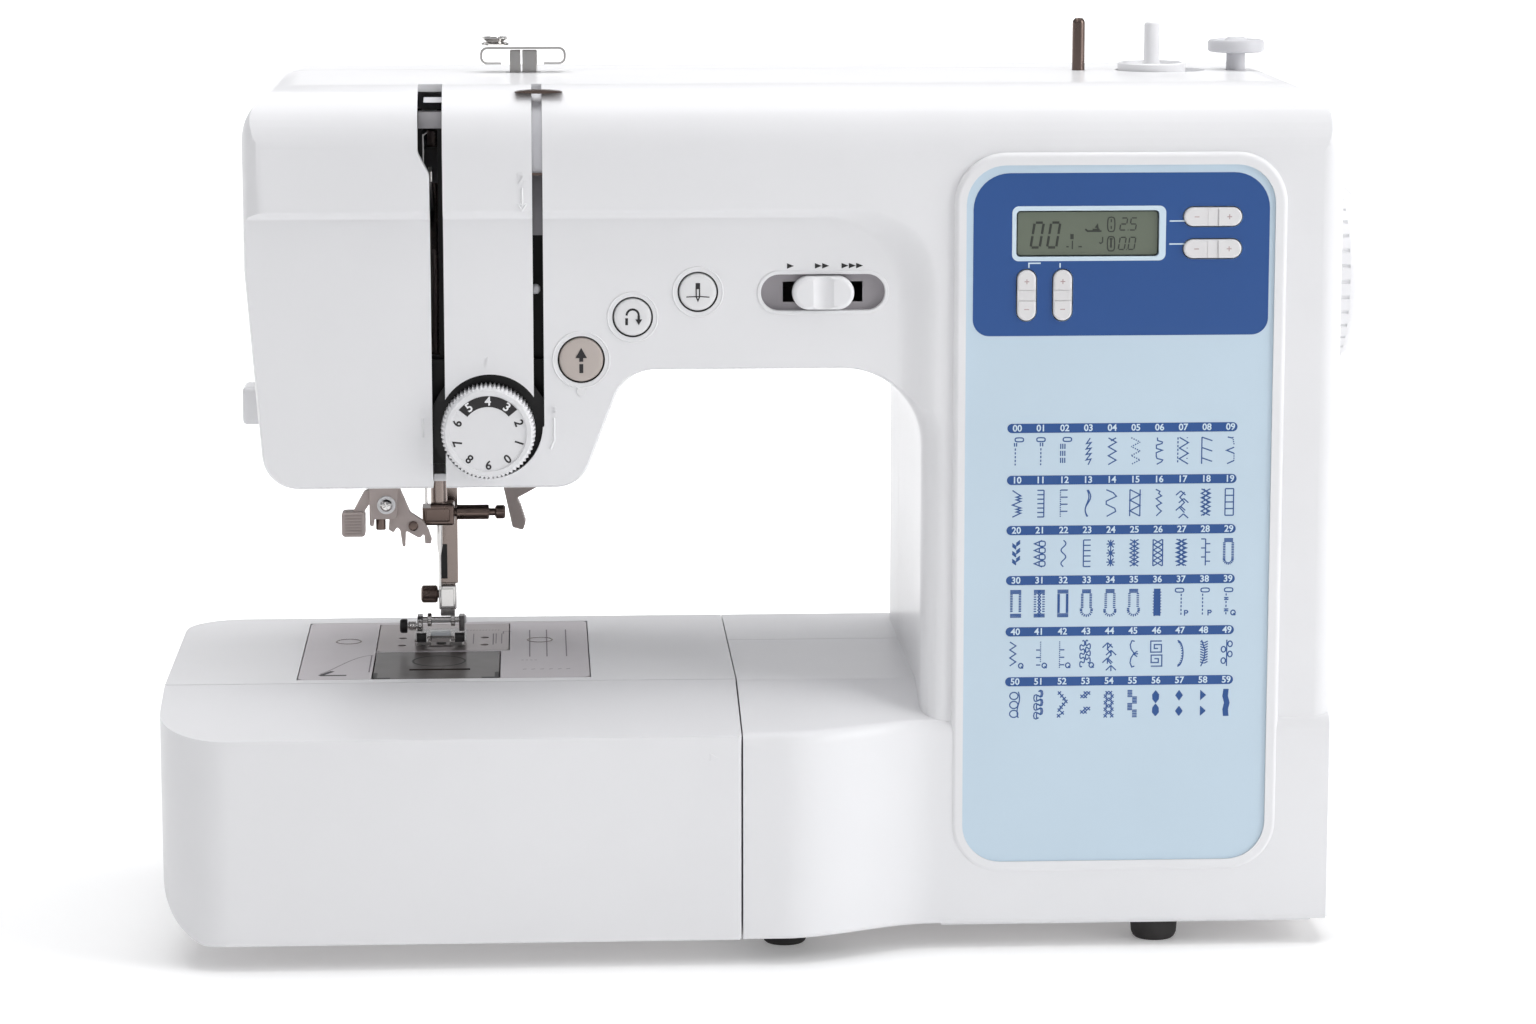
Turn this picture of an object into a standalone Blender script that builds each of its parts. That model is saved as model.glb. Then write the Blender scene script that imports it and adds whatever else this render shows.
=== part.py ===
"""A computerised free-arm sewing machine, built as an assembly of separate solids.

Sizes are millimetres in this file and become metres where a mesh is made. +X runs to the
handwheel, +Y away from the user and +Z up. The origin is on the table, under the middle of
the machine's overall width and depth.
"""

import math

import bmesh
import bpy
from mathutils import Matrix, Vector

MM = 0.001
GAP = 0.35

# Overall casing
WIDTH = 413.0
DEPTH = 178.0
TOP_Z = 290.0
LEFT_X = -WIDTH / 2
RIGHT_X = WIDTH / 2
FRONT_Y = -DEPTH / 2
BACK_Y = DEPTH / 2
WALL = 2.5
BED_Z = 88.0
BASE_Z = 8.0
PART_Y = 24.0
ARM_FRONT_Y = -70.0
RECESS_Y = -66.0
ARM_BACK_Y = 70.0
TOP_FRONT_R = 22.0
TOP_BACK_R = 20.0
COLUMN_RIGHT_X = 187.0
COLUMN_LEFT_X = 47.0
BLOCK_LEFT_X = -13.5
HEAD_BOTTOM_Z = 157.5
ARM_BOTTOM_Z = 196.5

# Free arm and accessory tray
ARM_Y = (-43.7, 72.0)
ARM_UNDER_Z = 26.0
TRAY_BACK_Y = -44.3
TRAY_RIGHT_X = -14.0
CREASE_Z = 78.0
TRAY_HINGE = (0.0, -87.9, 10.0)

# Needle, presser and hook
NEEDLE_XY = (-114.8, 18.0)
PRESSER_XY = (-111.9, 30.0)
NEEDLE_BAR_R = 2.9
PRESSER_BAR_R = 3.0
HOOK_XY = (-114.8, -4.0)
HOOK_R = 18.0
PLATE_T = 1.8

# Drive train
SHAFT_YZ = (18.0, 218.5)
LOWER_YZ = (18.0, 50.0)
MOTOR_YZ = (-35.0, 50.0)
SHAFT_R = 4.0
BIG_PULLEY_R = 20.0
MOTOR_PULLEY_R = 8.0
TIMING_PULLEY_R = 10.0
MOTOR_BELT_X = (138.0, 146.0)
TIMING_BELT_X = (155.0, 163.0)
WHEEL_R = 31.0

# Controls on the front
DIAL_XZ = (-96.5, 177.0)
DIAL_R = 15.6
START_XZ = (-65.7, 200.5)
REVERSE_XZ = (-48.7, 214.5)
POSITION_XZ = (-27.2, 222.7)
SPEED_XZ = (14.1, 222.3)
SPEED_SLOT = (41.0, 12.0)
PANEL_LO = (61.3, 30.3)
PANEL_HI = (162.7, 264.0)
PANEL_FACE_Y = -71.2
LCD_LO = (77.4, 234.2)
LCD_HI = (124.6, 249.4)
KEY_LONG = 19.2
KEY_WIDE = 6.2
KEYS = {
    "length_key": (142.3, 247.2, "across"),
    "width_key": (142.3, 236.6, "across"),
    "stitch_tens_key": (80.9, 221.5, "upright"),
    "stitch_ones_key": (92.8, 221.5, "upright"),
}

# Top of the casing
TOP_ROW_Y = 10.0
SPOOL_X = 107.3
WINDER_X = 132.7
STOP_X = 162.0
GUIDE_X = -84.0

COLOURS = {
    "white": ((0.86, 0.86, 0.87), 0.35, 0.0),
    "grey": ((0.62, 0.58, 0.56), 0.45, 0.0),
    "dark": ((0.05, 0.05, 0.05), 0.5, 0.0),
    "blue": ((0.50, 0.66, 0.76), 0.5, 0.0),
    "lcd": ((0.30, 0.34, 0.28), 0.3, 0.0),
    "smoke": ((0.12, 0.11, 0.10), 0.1, 0.0),
    "steel": ((0.62, 0.58, 0.55), 0.3, 1.0),
    "chrome": ((0.80, 0.80, 0.80), 0.1, 1.0),
    "cast": ((0.55, 0.56, 0.57), 0.6, 1.0),
    "rubber": ((0.10, 0.09, 0.09), 0.8, 0.0),
}


# ---------------------------------------------------------------- scene and materials


def clear_scene():
    for obj in list(bpy.data.objects):
        bpy.data.objects.remove(obj)


def make_collection(name, hidden):
    found = bpy.data.collections.new(name)
    bpy.context.scene.collection.children.link(found)
    found.hide_render = hidden
    return found


def material(name):
    found = bpy.data.materials.get(name)
    if found:
        return found
    colour, roughness, metallic = COLOURS[name]
    found = bpy.data.materials.new(name)
    found.use_nodes = True
    shader = found.node_tree.nodes["Principled BSDF"]
    shader.inputs["Base Color"].default_value = (*colour, 1.0)
    shader.inputs["Roughness"].default_value = roughness
    shader.inputs["Metallic"].default_value = metallic
    return found


def place(bm, name, home, origin=(0, 0, 0)):
    """The bmesh, drawn in millimetres, as an object whose own origin is at the given point."""
    bmesh.ops.translate(bm, verts=bm.verts, vec=-Vector(origin))
    bmesh.ops.scale(bm, verts=bm.verts, vec=(MM, MM, MM))
    bmesh.ops.recalc_face_normals(bm, faces=bm.faces)
    mesh = bpy.data.meshes.new(name)
    bm.to_mesh(mesh)
    bm.free()
    mesh.shade_smooth()
    mesh.set_sharp_from_angle(angle=math.radians(35))
    obj = bpy.data.objects.new(name, mesh)
    obj.location = Vector(origin) * MM
    home.objects.link(obj)
    return obj


def part(bm, name, colour, origin=(0, 0, 0)):
    obj = place(bm, name, machine, origin)
    obj.data.materials.append(material(colour))
    return obj


def boolean(obj, bm, operation):
    tool = place(bm, f"{obj.name}_{operation.lower()}", cutters)
    tool.hide_render = True
    tool.display_type = "WIRE"
    change = obj.modifiers.new(operation.title(), "BOOLEAN")
    change.operation = operation
    change.solver = "EXACT"
    change.object = tool
    return obj


def cut(obj, *shapes):
    for bm in shapes:
        boolean(obj, bm, "DIFFERENCE")
    return obj


def add(obj, *shapes):
    for bm in shapes:
        boolean(obj, bm, "UNION")
    return obj


def keep(obj, *shapes):
    for bm in shapes:
        boolean(obj, bm, "INTERSECT")
    return obj


# ---------------------------------------------------------------- shapes


def box(lo, hi):
    bm = bmesh.new()
    bmesh.ops.create_cube(bm, size=1)
    size = Vector(hi) - Vector(lo)
    bmesh.ops.scale(bm, verts=bm.verts, vec=size)
    bmesh.ops.translate(bm, verts=bm.verts, vec=(Vector(hi) + Vector(lo)) / 2)
    return bm


def soft_box(lo, hi, radius, segments=2):
    bm = box(lo, hi)
    bmesh.ops.bevel(
        bm, geom=bm.edges[:], offset=radius, segments=segments, profile=0.5,
        affect="EDGES", material=-1,
    )
    return bm


def rod(start, end, radius, sides=20, end_radius=None):
    """A cylinder, or a cone frustum, between two points."""
    start, end = Vector(start), Vector(end)
    bm = bmesh.new()
    bmesh.ops.create_cone(
        bm, cap_ends=True, segments=sides, radius1=radius,
        radius2=radius if end_radius is None else end_radius, depth=(end - start).length,
    )
    turn = (end - start).to_track_quat("Z", "Y").to_matrix().to_4x4()
    bmesh.ops.transform(bm, matrix=Matrix.Translation((start + end) / 2) @ turn, verts=bm.verts)
    return bm


def turned(name, colour, profile, foot, direction=(0, 0, 1), sides=28):
    """A turned solid: a profile of (radius, distance from the foot), spun by a Screw modifier.

    Profiles are written up their outer side, so their order is reversed for the modifier.
    """
    closed = profile[0] == profile[-1]
    points = list(reversed(profile[:-1] if closed else profile))
    bm = bmesh.new()
    verts = [bm.verts.new((radius * MM, 0, along * MM)) for radius, along in points]
    for first, second in zip(verts, verts[1:] + verts[:1] if closed else verts[1:]):
        bm.edges.new((first, second))
    mesh = bpy.data.meshes.new(name)
    bm.to_mesh(mesh)
    bm.free()
    mesh.materials.append(material(colour))
    obj = bpy.data.objects.new(name, mesh)
    obj.location = Vector(foot) * MM
    obj.rotation_euler = Vector(direction).to_track_quat("Z", "Y").to_euler()
    machine.objects.link(obj)
    spin = obj.modifiers.new("Turn", "SCREW")
    spin.axis = "Z"
    spin.angle = math.tau
    spin.screw_offset = 0
    spin.steps = sides
    spin.render_steps = sides
    spin.use_merge_vertices = True
    spin.merge_threshold = 0.00001
    return obj


def offset_corners(corners, inset):
    """The polygon moved inwards by inset; its corner radii shrink outside and grow inside."""
    moved = []
    count = len(corners)
    for i, (x, z, radius) in enumerate(corners):
        before = Vector(corners[i - 1][:2])
        here = Vector((x, z))
        after = Vector(corners[(i + 1) % count][:2])
        first = (here - before).normalized()
        second = (after - here).normalized()
        normals = [Vector((-way.y, way.x)) for way in (first, second)]
        turn = first.x * second.y - first.y * second.x
        share = inset / (1 + normals[0].dot(normals[1]))
        spot = here + (normals[0] + normals[1]) * share
        moved.append((spot.x, spot.y, max(radius - math.copysign(inset, turn), 0.0)))
    return moved


def rounded(corners, inset=0.0, steps=4):
    """The points of a polygon, given anticlockwise as (u, v, corner radius), with arcs."""
    points = []
    corners = offset_corners(corners, inset) if inset else corners
    count = len(corners)
    for i, (x, z, radius) in enumerate(corners):
        here = Vector((x, z))
        if radius < 0.5:
            points.append(here)
            continue
        to_before = (Vector(corners[i - 1][:2]) - here).normalized()
        to_after = (Vector(corners[(i + 1) % count][:2]) - here).normalized()
        half = to_before.angle(to_after) / 2
        reach = radius / math.tan(half)
        centre = here + (to_before + to_after).normalized() * radius / math.sin(half)
        start = here + to_before * reach - centre
        end = here + to_after * reach - centre
        sweep = start.angle_signed(end)
        for k in range(steps + 1):
            arm = start.copy()
            arm.rotate(Matrix.Rotation(-sweep * k / steps, 2))
            points.append(centre + arm)
    return points


def prism(points, axis, start, end):
    """A flat outline drawn out along X, Y or Z. Outlines are (y, z), (x, z) and (x, y)."""
    build = {
        "X": lambda u, v: (start, u, v),
        "Y": lambda u, v: (u, start, v),
        "Z": lambda u, v: (u, v, start),
    }[axis]
    along = {"X": (1, 0, 0), "Y": (0, 1, 0), "Z": (0, 0, 1)}[axis]
    bm = bmesh.new()
    face = bm.faces.new([bm.verts.new(build(*point)) for point in points])
    drawn = bmesh.ops.extrude_face_region(bm, geom=[face])["geom"]
    moved = [item for item in drawn if isinstance(item, bmesh.types.BMVert)]
    bmesh.ops.translate(bm, verts=moved, vec=Vector(along) * (end - start))
    bmesh.ops.recalc_face_normals(bm, faces=bm.faces)
    return bm


def round_rim(bm, index, level, width, segments=4):
    """Rounds the loop of edges that lies at one level of one axis."""
    rim = [e for e in bm.edges if all(abs(v.co[index] - level) < 1e-4 for v in e.verts)]
    bmesh.ops.bevel(
        bm, geom=rim, offset=width, segments=segments, profile=0.5, affect="EDGES",
        material=-1,
    )
    return bm


def pill(centre, length, width, steps=6):
    """The outline of a slot with round ends, its long side along the first axis."""
    u, v = centre
    a, b = length / 2, width / 2
    radius = b - 0.01
    corners = [(u - a, v - b), (u + a, v - b), (u + a, v + b), (u - a, v + b)]
    return rounded([(*corner, radius) for corner in corners], steps=steps)


def rectangle(lo, hi, radius, steps=4):
    (u0, v0), (u1, v1) = lo, hi
    corners = [(u0, v0), (u1, v0), (u1, v1), (u0, v1)]
    return rounded([(*corner, radius) for corner in corners], steps=steps)


# ---------------------------------------------------------------- casing

# The C seen from the front: column foot, column, arm and head.
C_CORNERS = [
    (-176, TOP_Z, 17), (-176, 230, 60), (-170.5, HEAD_BOTTOM_Z, 12), (-66, HEAD_BOTTOM_Z, 12),
    (-51, ARM_BOTTOM_Z, 14), (COLUMN_LEFT_X, ARM_BOTTOM_Z, 26), (COLUMN_LEFT_X, -10, 0),
    (COLUMN_RIGHT_X, -10, 0), (COLUMN_RIGHT_X, TOP_Z, 22),
]
# The base block from the side: an upright front, a sloping top edge and the level bed.
FRONT_BLOCK = [
    (FRONT_Y, BASE_Z + 0.6, 1.5), (40, BASE_Z + 0.6, 0.3), (40, BED_Z, 0.3),
    (-46, BED_Z, 14), (FRONT_Y, CREASE_Z, 5),
]
BACK_BLOCK = [
    (10, BASE_Z + 0.6, 0.3), (BACK_Y, BASE_Z + 0.6, 3), (BACK_Y, 78, 6), (74, BED_Z, 10),
    (10, BED_Z, 0.3),
]


def front_sweep(inset=0.0):
    """Seen from above, the base front draws back in an S from the tray to the column."""
    start_x, end_x = 6.0, 54.0
    start_y, end_y = FRONT_Y + inset, ARM_FRONT_Y + 1.2 + inset
    steps = 8
    points = [(start_x - 1, FRONT_Y - 20), (start_x - 1, start_y - 0.5)]
    for k in range(steps + 1):
        share = k / steps
        ease = share * share * (3 - 2 * share)
        points.append((start_x + (end_x - start_x) * share, start_y + (end_y - start_y) * ease))
    points += [(COLUMN_RIGHT_X + 20, end_y), (COLUMN_RIGHT_X + 20, FRONT_Y - 20)]
    return prism(points, "Z", BASE_Z - 10, BED_Z + 10)


def c_outline(inset=0.0):
    return rounded(C_CORNERS, inset)


def rounded_top(inset=0.0):
    """Seen from the side, the casing's long top edges are rounded, front and back."""
    outline = [
        (ARM_FRONT_Y, -30, 0), (ARM_BACK_Y, -30, 0), (ARM_BACK_Y, TOP_Z, TOP_BACK_R),
        (ARM_FRONT_Y, TOP_Z, TOP_FRONT_R),
    ]
    return prism(rounded(outline, inset, steps=6), "X", -200, 200)


def shared_openings():
    """Openings that both casing halves share across the parting plane."""
    return (
        rod((180, *SHAFT_YZ), (195, *SHAFT_YZ), 9.5, 28),
        box((-150, 1, HEAD_BOTTOM_Z - 5), (-77, 62, HEAD_BOTTOM_Z + 6)),
        box((BLOCK_LEFT_X - 5, -41, 30), (BLOCK_LEFT_X + 6, 69, 84)),
    )


def front_cover():
    body = prism(c_outline(), "Y", ARM_FRONT_Y, PART_Y + 8)
    obj = part(round_rim(body, 1, ARM_FRONT_Y, 8), "front_cover", "white")
    keep(obj, rounded_top())
    recess = rounded([
        (-200, 120, 1), (50, 120, 1), (50, 250, 26), (-200, 250, 1),
    ])
    cut(obj, prism(recess, "Y", ARM_FRONT_Y - 10, RECESS_Y))
    cut(obj, box((-300, -200, -50), (300, 200, BASE_Z)))
    block = part(prism(rounded(FRONT_BLOCK), "X", BLOCK_LEFT_X, 185), "block_tool", "white")
    cut(block, front_sweep())
    join_hidden(obj, block, "UNION")
    add(obj, rod((SPOOL_X, TOP_ROW_Y, TOP_Z - 4), (SPOOL_X, TOP_ROW_Y, TOP_Z + 2.6), 6.4, 24))
    add(obj, soft_box((-181, -8, 171), (-168, 8, 184), 1.5))
    add(obj, round_rim(
        prism(rectangle((57, 26), (167, 268.5), 17), "Y", ARM_FRONT_Y - 1.6, ARM_FRONT_Y + 4),
        1, ARM_FRONT_Y - 1.6, 1.4, 2,
    ))
    hollow = part(prism(c_outline(WALL), "Y", RECESS_Y + WALL, PART_Y + 20), "c_hollow", "white")
    keep(hollow, rounded_top(WALL))
    join_hidden(obj, hollow, "DIFFERENCE")
    inner_column = rectangle((55, 12), (COLUMN_RIGHT_X - 6, TOP_Z - 22), 12)
    cut(obj, prism(inner_column, "Y", ARM_FRONT_Y + WALL, PART_Y + 18))
    hollow = [
        (FRONT_Y + WALL, BASE_Z - 6, 0.3), (50, BASE_Z - 6, 0.3), (50, BED_Z - WALL, 0.3),
        (-46, BED_Z - WALL, 14), (FRONT_Y + WALL, CREASE_Z - 2, 4),
    ]
    inside = part(prism(rounded(hollow), "X", BLOCK_LEFT_X + WALL, 184.1), "hollow_tool", "white")
    cut(inside, front_sweep(WALL))
    join_hidden(obj, inside, "DIFFERENCE")
    add(obj, box((WINDER_X - 16, -6, 284), (WINDER_X + 22, PART_Y + 8, 289)))
    cut(obj, box((-300, PART_Y, -10), (300, PART_Y + 60, 400)))
    cut(obj, *shared_openings())
    for bm in front_openings():
        cut(obj, bm)
    return obj


def join_hidden(obj, tool, operation):
    """Joins or cuts with an object that is itself built up from modifiers."""
    machine.objects.unlink(tool)
    cutters.objects.link(tool)
    tool.hide_render = True
    tool.display_type = "WIRE"
    change = obj.modifiers.new(operation.title(), "BOOLEAN")
    change.operation = operation
    change.solver = "EXACT"
    change.object = tool


def front_openings():
    """Everything that passes through the front casing's walls."""
    wall = (ARM_FRONT_Y - 8, RECESS_Y + 12)
    deep = (ARM_FRONT_Y - 8, ARM_FRONT_Y + TOP_FRONT_R)
    slot = [
        (-114.9, 150, 0), (-110.6, 150, 0), (-110.6, 295, 0), (-118.6, 295, 0),
        (-118.6, 268, 3), (-114.9, 262, 3),
    ]
    yield prism(rounded(slot), "Y", *deep)
    yield prism(rectangle((-81.4, 178), (-78.0, 295), 0.6), "Y", *deep)
    yield rod((DIAL_XZ[0], wall[0], DIAL_XZ[1]), (DIAL_XZ[0], wall[1], DIAL_XZ[1]), 17.0, 36)
    for (x, z), radius in ((START_XZ, 7.8), (REVERSE_XZ, 6.7), (POSITION_XZ, 6.7)):
        yield rod((x, wall[0], z), (x, wall[1], z), radius, 24)
    yield prism(pill(SPEED_XZ, *SPEED_SLOT), "Y", *wall)
    lo = [value - GAP for value in PANEL_LO]
    hi = [value + GAP for value in PANEL_HI]
    yield prism(rectangle(lo, hi, 13), "Y", ARM_FRONT_Y - 8, ARM_FRONT_Y + 12)
    top = (TOP_Z - 12, TOP_Z + 12)
    for x, radius in ((SPOOL_X, 2.6), (STOP_X, 3.7)):
        yield rod((x, TOP_ROW_Y, top[0]), (x, TOP_ROW_Y, top[1]), radius, 16)
    yield prism(pill((WINDER_X + 3, TOP_ROW_Y), 14, 7.6), "Z", *top)
    yield prism(pill((WINDER_X + 3, TOP_ROW_Y), 31.2, 25.2), "Z", 288.0, top[1])
    yield box((GUIDE_X - 6, TOP_ROW_Y - 2, top[0]), (GUIDE_X + 6, TOP_ROW_Y + 2, top[1]))
    yield box((180, -24.5, 39.5), (195, 0.5, 64.5))
    yield box((180, -22.5, 99.5), (195, -3.5, 126.5))


def rear_cover():
    body = prism(c_outline(), "Y", PART_Y - 8, ARM_BACK_Y)
    obj = part(round_rim(body, 1, ARM_BACK_Y, 10), "rear_cover", "white")
    keep(obj, rounded_top())
    cut(obj, box((-300, -200, -50), (300, 200, BASE_Z)))
    add(obj, prism(rounded(BACK_BLOCK), "X", BLOCK_LEFT_X, 185))
    for x in HANDLE_EARS_X:
        add(obj, soft_box((x - 3, 60, 254), (x + 3, 84, 270), 1.0))
        cut(obj, rod((x - 8, *HANDLE_PIVOT[1:]), (x + 8, *HANDLE_PIVOT[1:]), 2.6, 16))
    hollow = prism(c_outline(WALL), "Y", PART_Y - 20, ARM_BACK_Y - WALL)
    round_rim(hollow, 1, ARM_BACK_Y - WALL, 8)
    hollow = part(hollow, "rear_hollow", "white")
    keep(hollow, rounded_top(WALL))
    join_hidden(obj, hollow, "DIFFERENCE")
    base_hollow = [
        (0, BASE_Z - 6, 0), (BACK_Y - WALL, BASE_Z - 6, 0), (BACK_Y - WALL, 76, 4),
        (74, BED_Z - WALL, 8), (0, BED_Z - WALL, 0),
    ]
    cut(obj, prism(rounded(base_hollow), "X", BLOCK_LEFT_X + WALL, 184.1))
    cut(obj, box((-300, PART_Y - 60, -10), (300, PART_Y + GAP, 400)))
    cut(obj, *shared_openings())
    cut(obj, box((-110, 49, 150), (-55, 61, 176)))
    for i in range(5):
        z = 120 + 9 * i
        cut(obj, box((80, ARM_BACK_Y - 8, z), (150, ARM_BACK_Y + 5, z + 3)))
    cut(obj, box((19, BACK_Y - 8, 34), (41, BACK_Y + 5, 40)))
    return obj


def free_arm_shell():
    side = [
        (ARM_Y[0], ARM_UNDER_Z, 6), (ARM_Y[1], ARM_UNDER_Z, 10), (ARM_Y[1], BED_Z, 7),
        (ARM_Y[0], BED_Z, 1.5),
    ]
    plan = [
        (LEFT_X, ARM_Y[0] - 10, 2), (50, ARM_Y[0] - 10, 2), (50, ARM_Y[1], 1),
        (LEFT_X, ARM_Y[1], 20),
    ]
    inner_plan = [
        (LEFT_X + WALL, ARM_Y[0] - 10, 2), (60, ARM_Y[0] - 10, 2), (60, ARM_Y[1] - WALL, 1),
        (LEFT_X + WALL, ARM_Y[1] - WALL, 18),
    ]
    right = BLOCK_LEFT_X - 0.4
    obj = part(prism(rounded(side), "X", LEFT_X - 5, right), "free_arm_shell", "white")
    keep(obj, prism(rounded(plan), "Z", 0, 120))
    inner = part(prism(rounded(side, WALL), "X", LEFT_X - 9, right + 9), "arm_hollow", "white")
    keep(inner, prism(rounded(inner_plan), "Z", 0, 120))
    join_hidden(obj, inner, "DIFFERENCE")
    cut(obj, box((-162.6, -38.2, 80), (-62.8, 62.2, 95)))
    return obj


def base_plate():
    outline = rectangle((BLOCK_LEFT_X + 3, -66), (183.5, 86), 6)
    return part(prism(outline, "Z", BASE_Z + 0.6, BASE_Z + 2.8), "base_plate", "grey")


def rubber_feet():
    spots = [(128, -58), (2, -58), (170, 76), (2, 76)]
    for i, (x, y) in enumerate(spots):
        profile = [(0, 0), (7.0, 0), (7.6, 1.2), (8.2, BASE_Z + 0.3), (0, BASE_Z + 0.3)]
        turned(f"rubber_foot_{i + 1}", "rubber", profile, (x, y, 0), sides=20)


# ---------------------------------------------------------------- accessory tray


def tray_outer(name, inset, low, high, back, colour):
    """The tray's tub shape: the side profile, kept inside its plan and its front outline."""
    front = FRONT_Y + inset
    left = LEFT_X + inset
    right = TRAY_RIGHT_X - inset
    side = [(front, low, 1), (back, low, 0.3), (back, high, 0.3), (front, high - 10, 5)]
    plan = [(left, front, 24 - inset), (right, front, 1), (right, back + 5, 1), (left, back + 5, 1)]
    face = [(left + 4, low, 22), (right, low, 0.3), (right, high + 20, 0.3), (left, high + 20, 1)]
    obj = part(prism(rounded(side), "X", LEFT_X - 5, TRAY_RIGHT_X + 5), name, colour)
    keep(obj, prism(rounded(plan), "Z", -10, 120))
    keep(obj, prism(rounded(face), "Y", front - 5, back + 10))
    return obj


def tray_cover():
    obj = tray_outer("tray_cover", 0.0, BASE_Z + 0.6, BED_Z, TRAY_BACK_Y, "white")
    inner = tray_outer("cover_hollow", 2.2, BASE_Z - 6, BED_Z - 2.2, TRAY_BACK_Y + 12, "white")
    join_hidden(obj, inner, "DIFFERENCE")
    turn_about(obj, TRAY_HINGE)


def tray_body():
    obj = tray_outer("tray_body", 4.6, BASE_Z + 1.2, 76, TRAY_BACK_Y - 0.4, "grey")
    inner = tray_outer("body_hollow", 6.8, BASE_Z + 3.4, 110, TRAY_BACK_Y - 2.6, "grey")
    join_hidden(obj, inner, "DIFFERENCE")


def turn_about(obj, point):
    """Moves an object's own origin to a point, leaving its shape where it is."""
    moved = Vector(point) * MM
    shift = moved - obj.location
    obj.data.transform(Matrix.Translation(-shift))
    obj.location = moved


# ---------------------------------------------------------------- bed and stitching parts


def needle_plate_cover():
    points = rectangle((-162.2, -37.8), (-63.2, 61.8), 3)
    obj = part(prism(points, "Z", BED_Z - PLATE_T, BED_Z), "needle_plate_cover", "grey")
    low, high = BED_Z - 5, BED_Z + 5
    cut(obj, box((-137.4, -50, low), (-93.6, 8.4, high)))
    cut(obj, box((-137.4, 9.6, low), (-90.6, 58.4, high)))
    for x in (-147.5, -80.0):
        cut(obj, rod((x, 28, low), (x, 28, high), 3.2, 20))
    return obj


def needle_plate():
    points = rectangle((-137, 10), (-91, 58), 1.5)
    obj = part(prism(points, "Z", BED_Z - PLATE_T, BED_Z), "needle_plate", "steel")
    x, y = NEEDLE_XY
    cut(obj, prism(pill((x, y), 9, 2.8), "Z", BED_Z - 5, BED_Z + 5))
    for row in (-6.5, 0.0, 6.5):
        cut(obj, box((x + row - 1.6, y + 3.6, BED_Z - 5), (x + row + 1.6, y + 24, BED_Z + 5)))


def bobbin_cover():
    points = rectangle((-137, -37.8), (-94, 8), 1.5)
    part(prism(points, "Z", BED_Z - PLATE_T, BED_Z), "bobbin_cover", "smoke")


def feed_parts():
    """The toothed feed dog on its lifting bridge, and the feed bar below it."""
    x, y = NEEDLE_XY
    obj = part(box((x - 8.5, y + 5, 78), (x + 8.5, y + 21.5, 83)), "feed_dog", "steel")
    for row in (-6.5, 0.0, 6.5):
        teeth = []
        for k in range(7):
            start = y + 6.4 + 2 * k
            teeth += [(start, BED_Z + 0.35), (start + 1.9, BED_Z - 0.5)]
        outline = [(y + 6.2, 81), *teeth, (y + 20.6, 81)]
        add(obj, prism(outline, "X", x + row - 1.1, x + row + 1.1))
    bar = part(box((x - 11, y + 4, 68), (x + 11, y + 23, 73)), "feed_bar", "steel")
    add(bar, box((x - 5, y + 20, 68.7), (x + 5, 64, 72.3)))


def drop_feed_lever():
    obj = part(box((20, 80, 35), (28, 85, 39)), "drop_feed_lever", "grey")
    add(obj, soft_box((21, 83, 34.6), (27, BACK_Y - 0.4, 39.4), 0.8))


def hook_parts():
    """The hook turns round a fixed bobbin case that holds the bobbin."""
    x, y = HOOK_XY
    profile = [
        (0, 43), (6.4, 43), (6.4, 57), (3, 57), (3, 64), (HOOK_R, 64), (HOOK_R, 82),
        (HOOK_R - 2, 82), (HOOK_R - 2, 67), (0, 67),
    ]
    hook = turned("rotary_hook", "steel", profile, (x, y, 0), sides=32)
    cut(hook, box((x - 4, y + 10, 76), (x + 9, y + 24, 86)))
    case_profile = [
        (0, 68.5), (14.5, 68.5), (14.5, 83), (15.6, 83), (15.6, 84.5), (12.2, 84.5),
        (12.2, 70.5), (0, 70.5),
    ]
    turned("bobbin_case", "dark", case_profile, (x, y, 0))
    bobbin_profile = [
        (3.2, 71), (10.3, 71), (10.3, 72.2), (4.2, 72.2), (4.2, 81.3), (10.3, 81.3),
        (10.3, 82.5), (3.2, 82.5), (3.2, 71),
    ]
    turned("bobbin", "smoke", bobbin_profile, (x, y, 0), sides=24)


def needle_parts():
    x, y = NEEDLE_XY
    part(rod((x, y, 133.5), (x, y, 270), NEEDLE_BAR_R), "needle_bar", "steel", (x, y, 136))
    clamp = part(
        soft_box((x - 6.0, y - 5.2, 131.7), (x + 5.8, y + 4.8, 139.6), 0.8), "needle_clamp",
        "steel", (x, y, 136),
    )
    cut(clamp, rod((x, y, 133), (x, y, 150), NEEDLE_BAR_R + 0.3))
    cut(clamp, rod((x, y, 125), (x, y, 135), 1.4, 12))
    cut(clamp, rod((x + 4.0, y, 135.8), (x + 12, y, 135.8), 1.9, 14))
    screw = part(
        rod((x + 4.3, y, 135.8), (x + 17.5, y, 135.8), 1.5, 14), "needle_clamp_screw", "steel",
    )
    add(screw, rod((x + 6.2, y, 135.8), (x + 17.2, y, 135.8), 2.6, 16))
    add(screw, rod((x + 17, y, 135.8), (x + 19.4, y, 135.8), 1.3, 12))
    add(screw, rod((x + 19, y, 135.8), (x + 23, y, 135.8), 2.4, 16))
    profile = [(0, 105), (0.4, 109), (0.4, 121), (1.0, 124), (1.0, 133), (0, 133)]
    turned("needle", "chrome", profile, (x, y, 0), sides=10)


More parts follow.
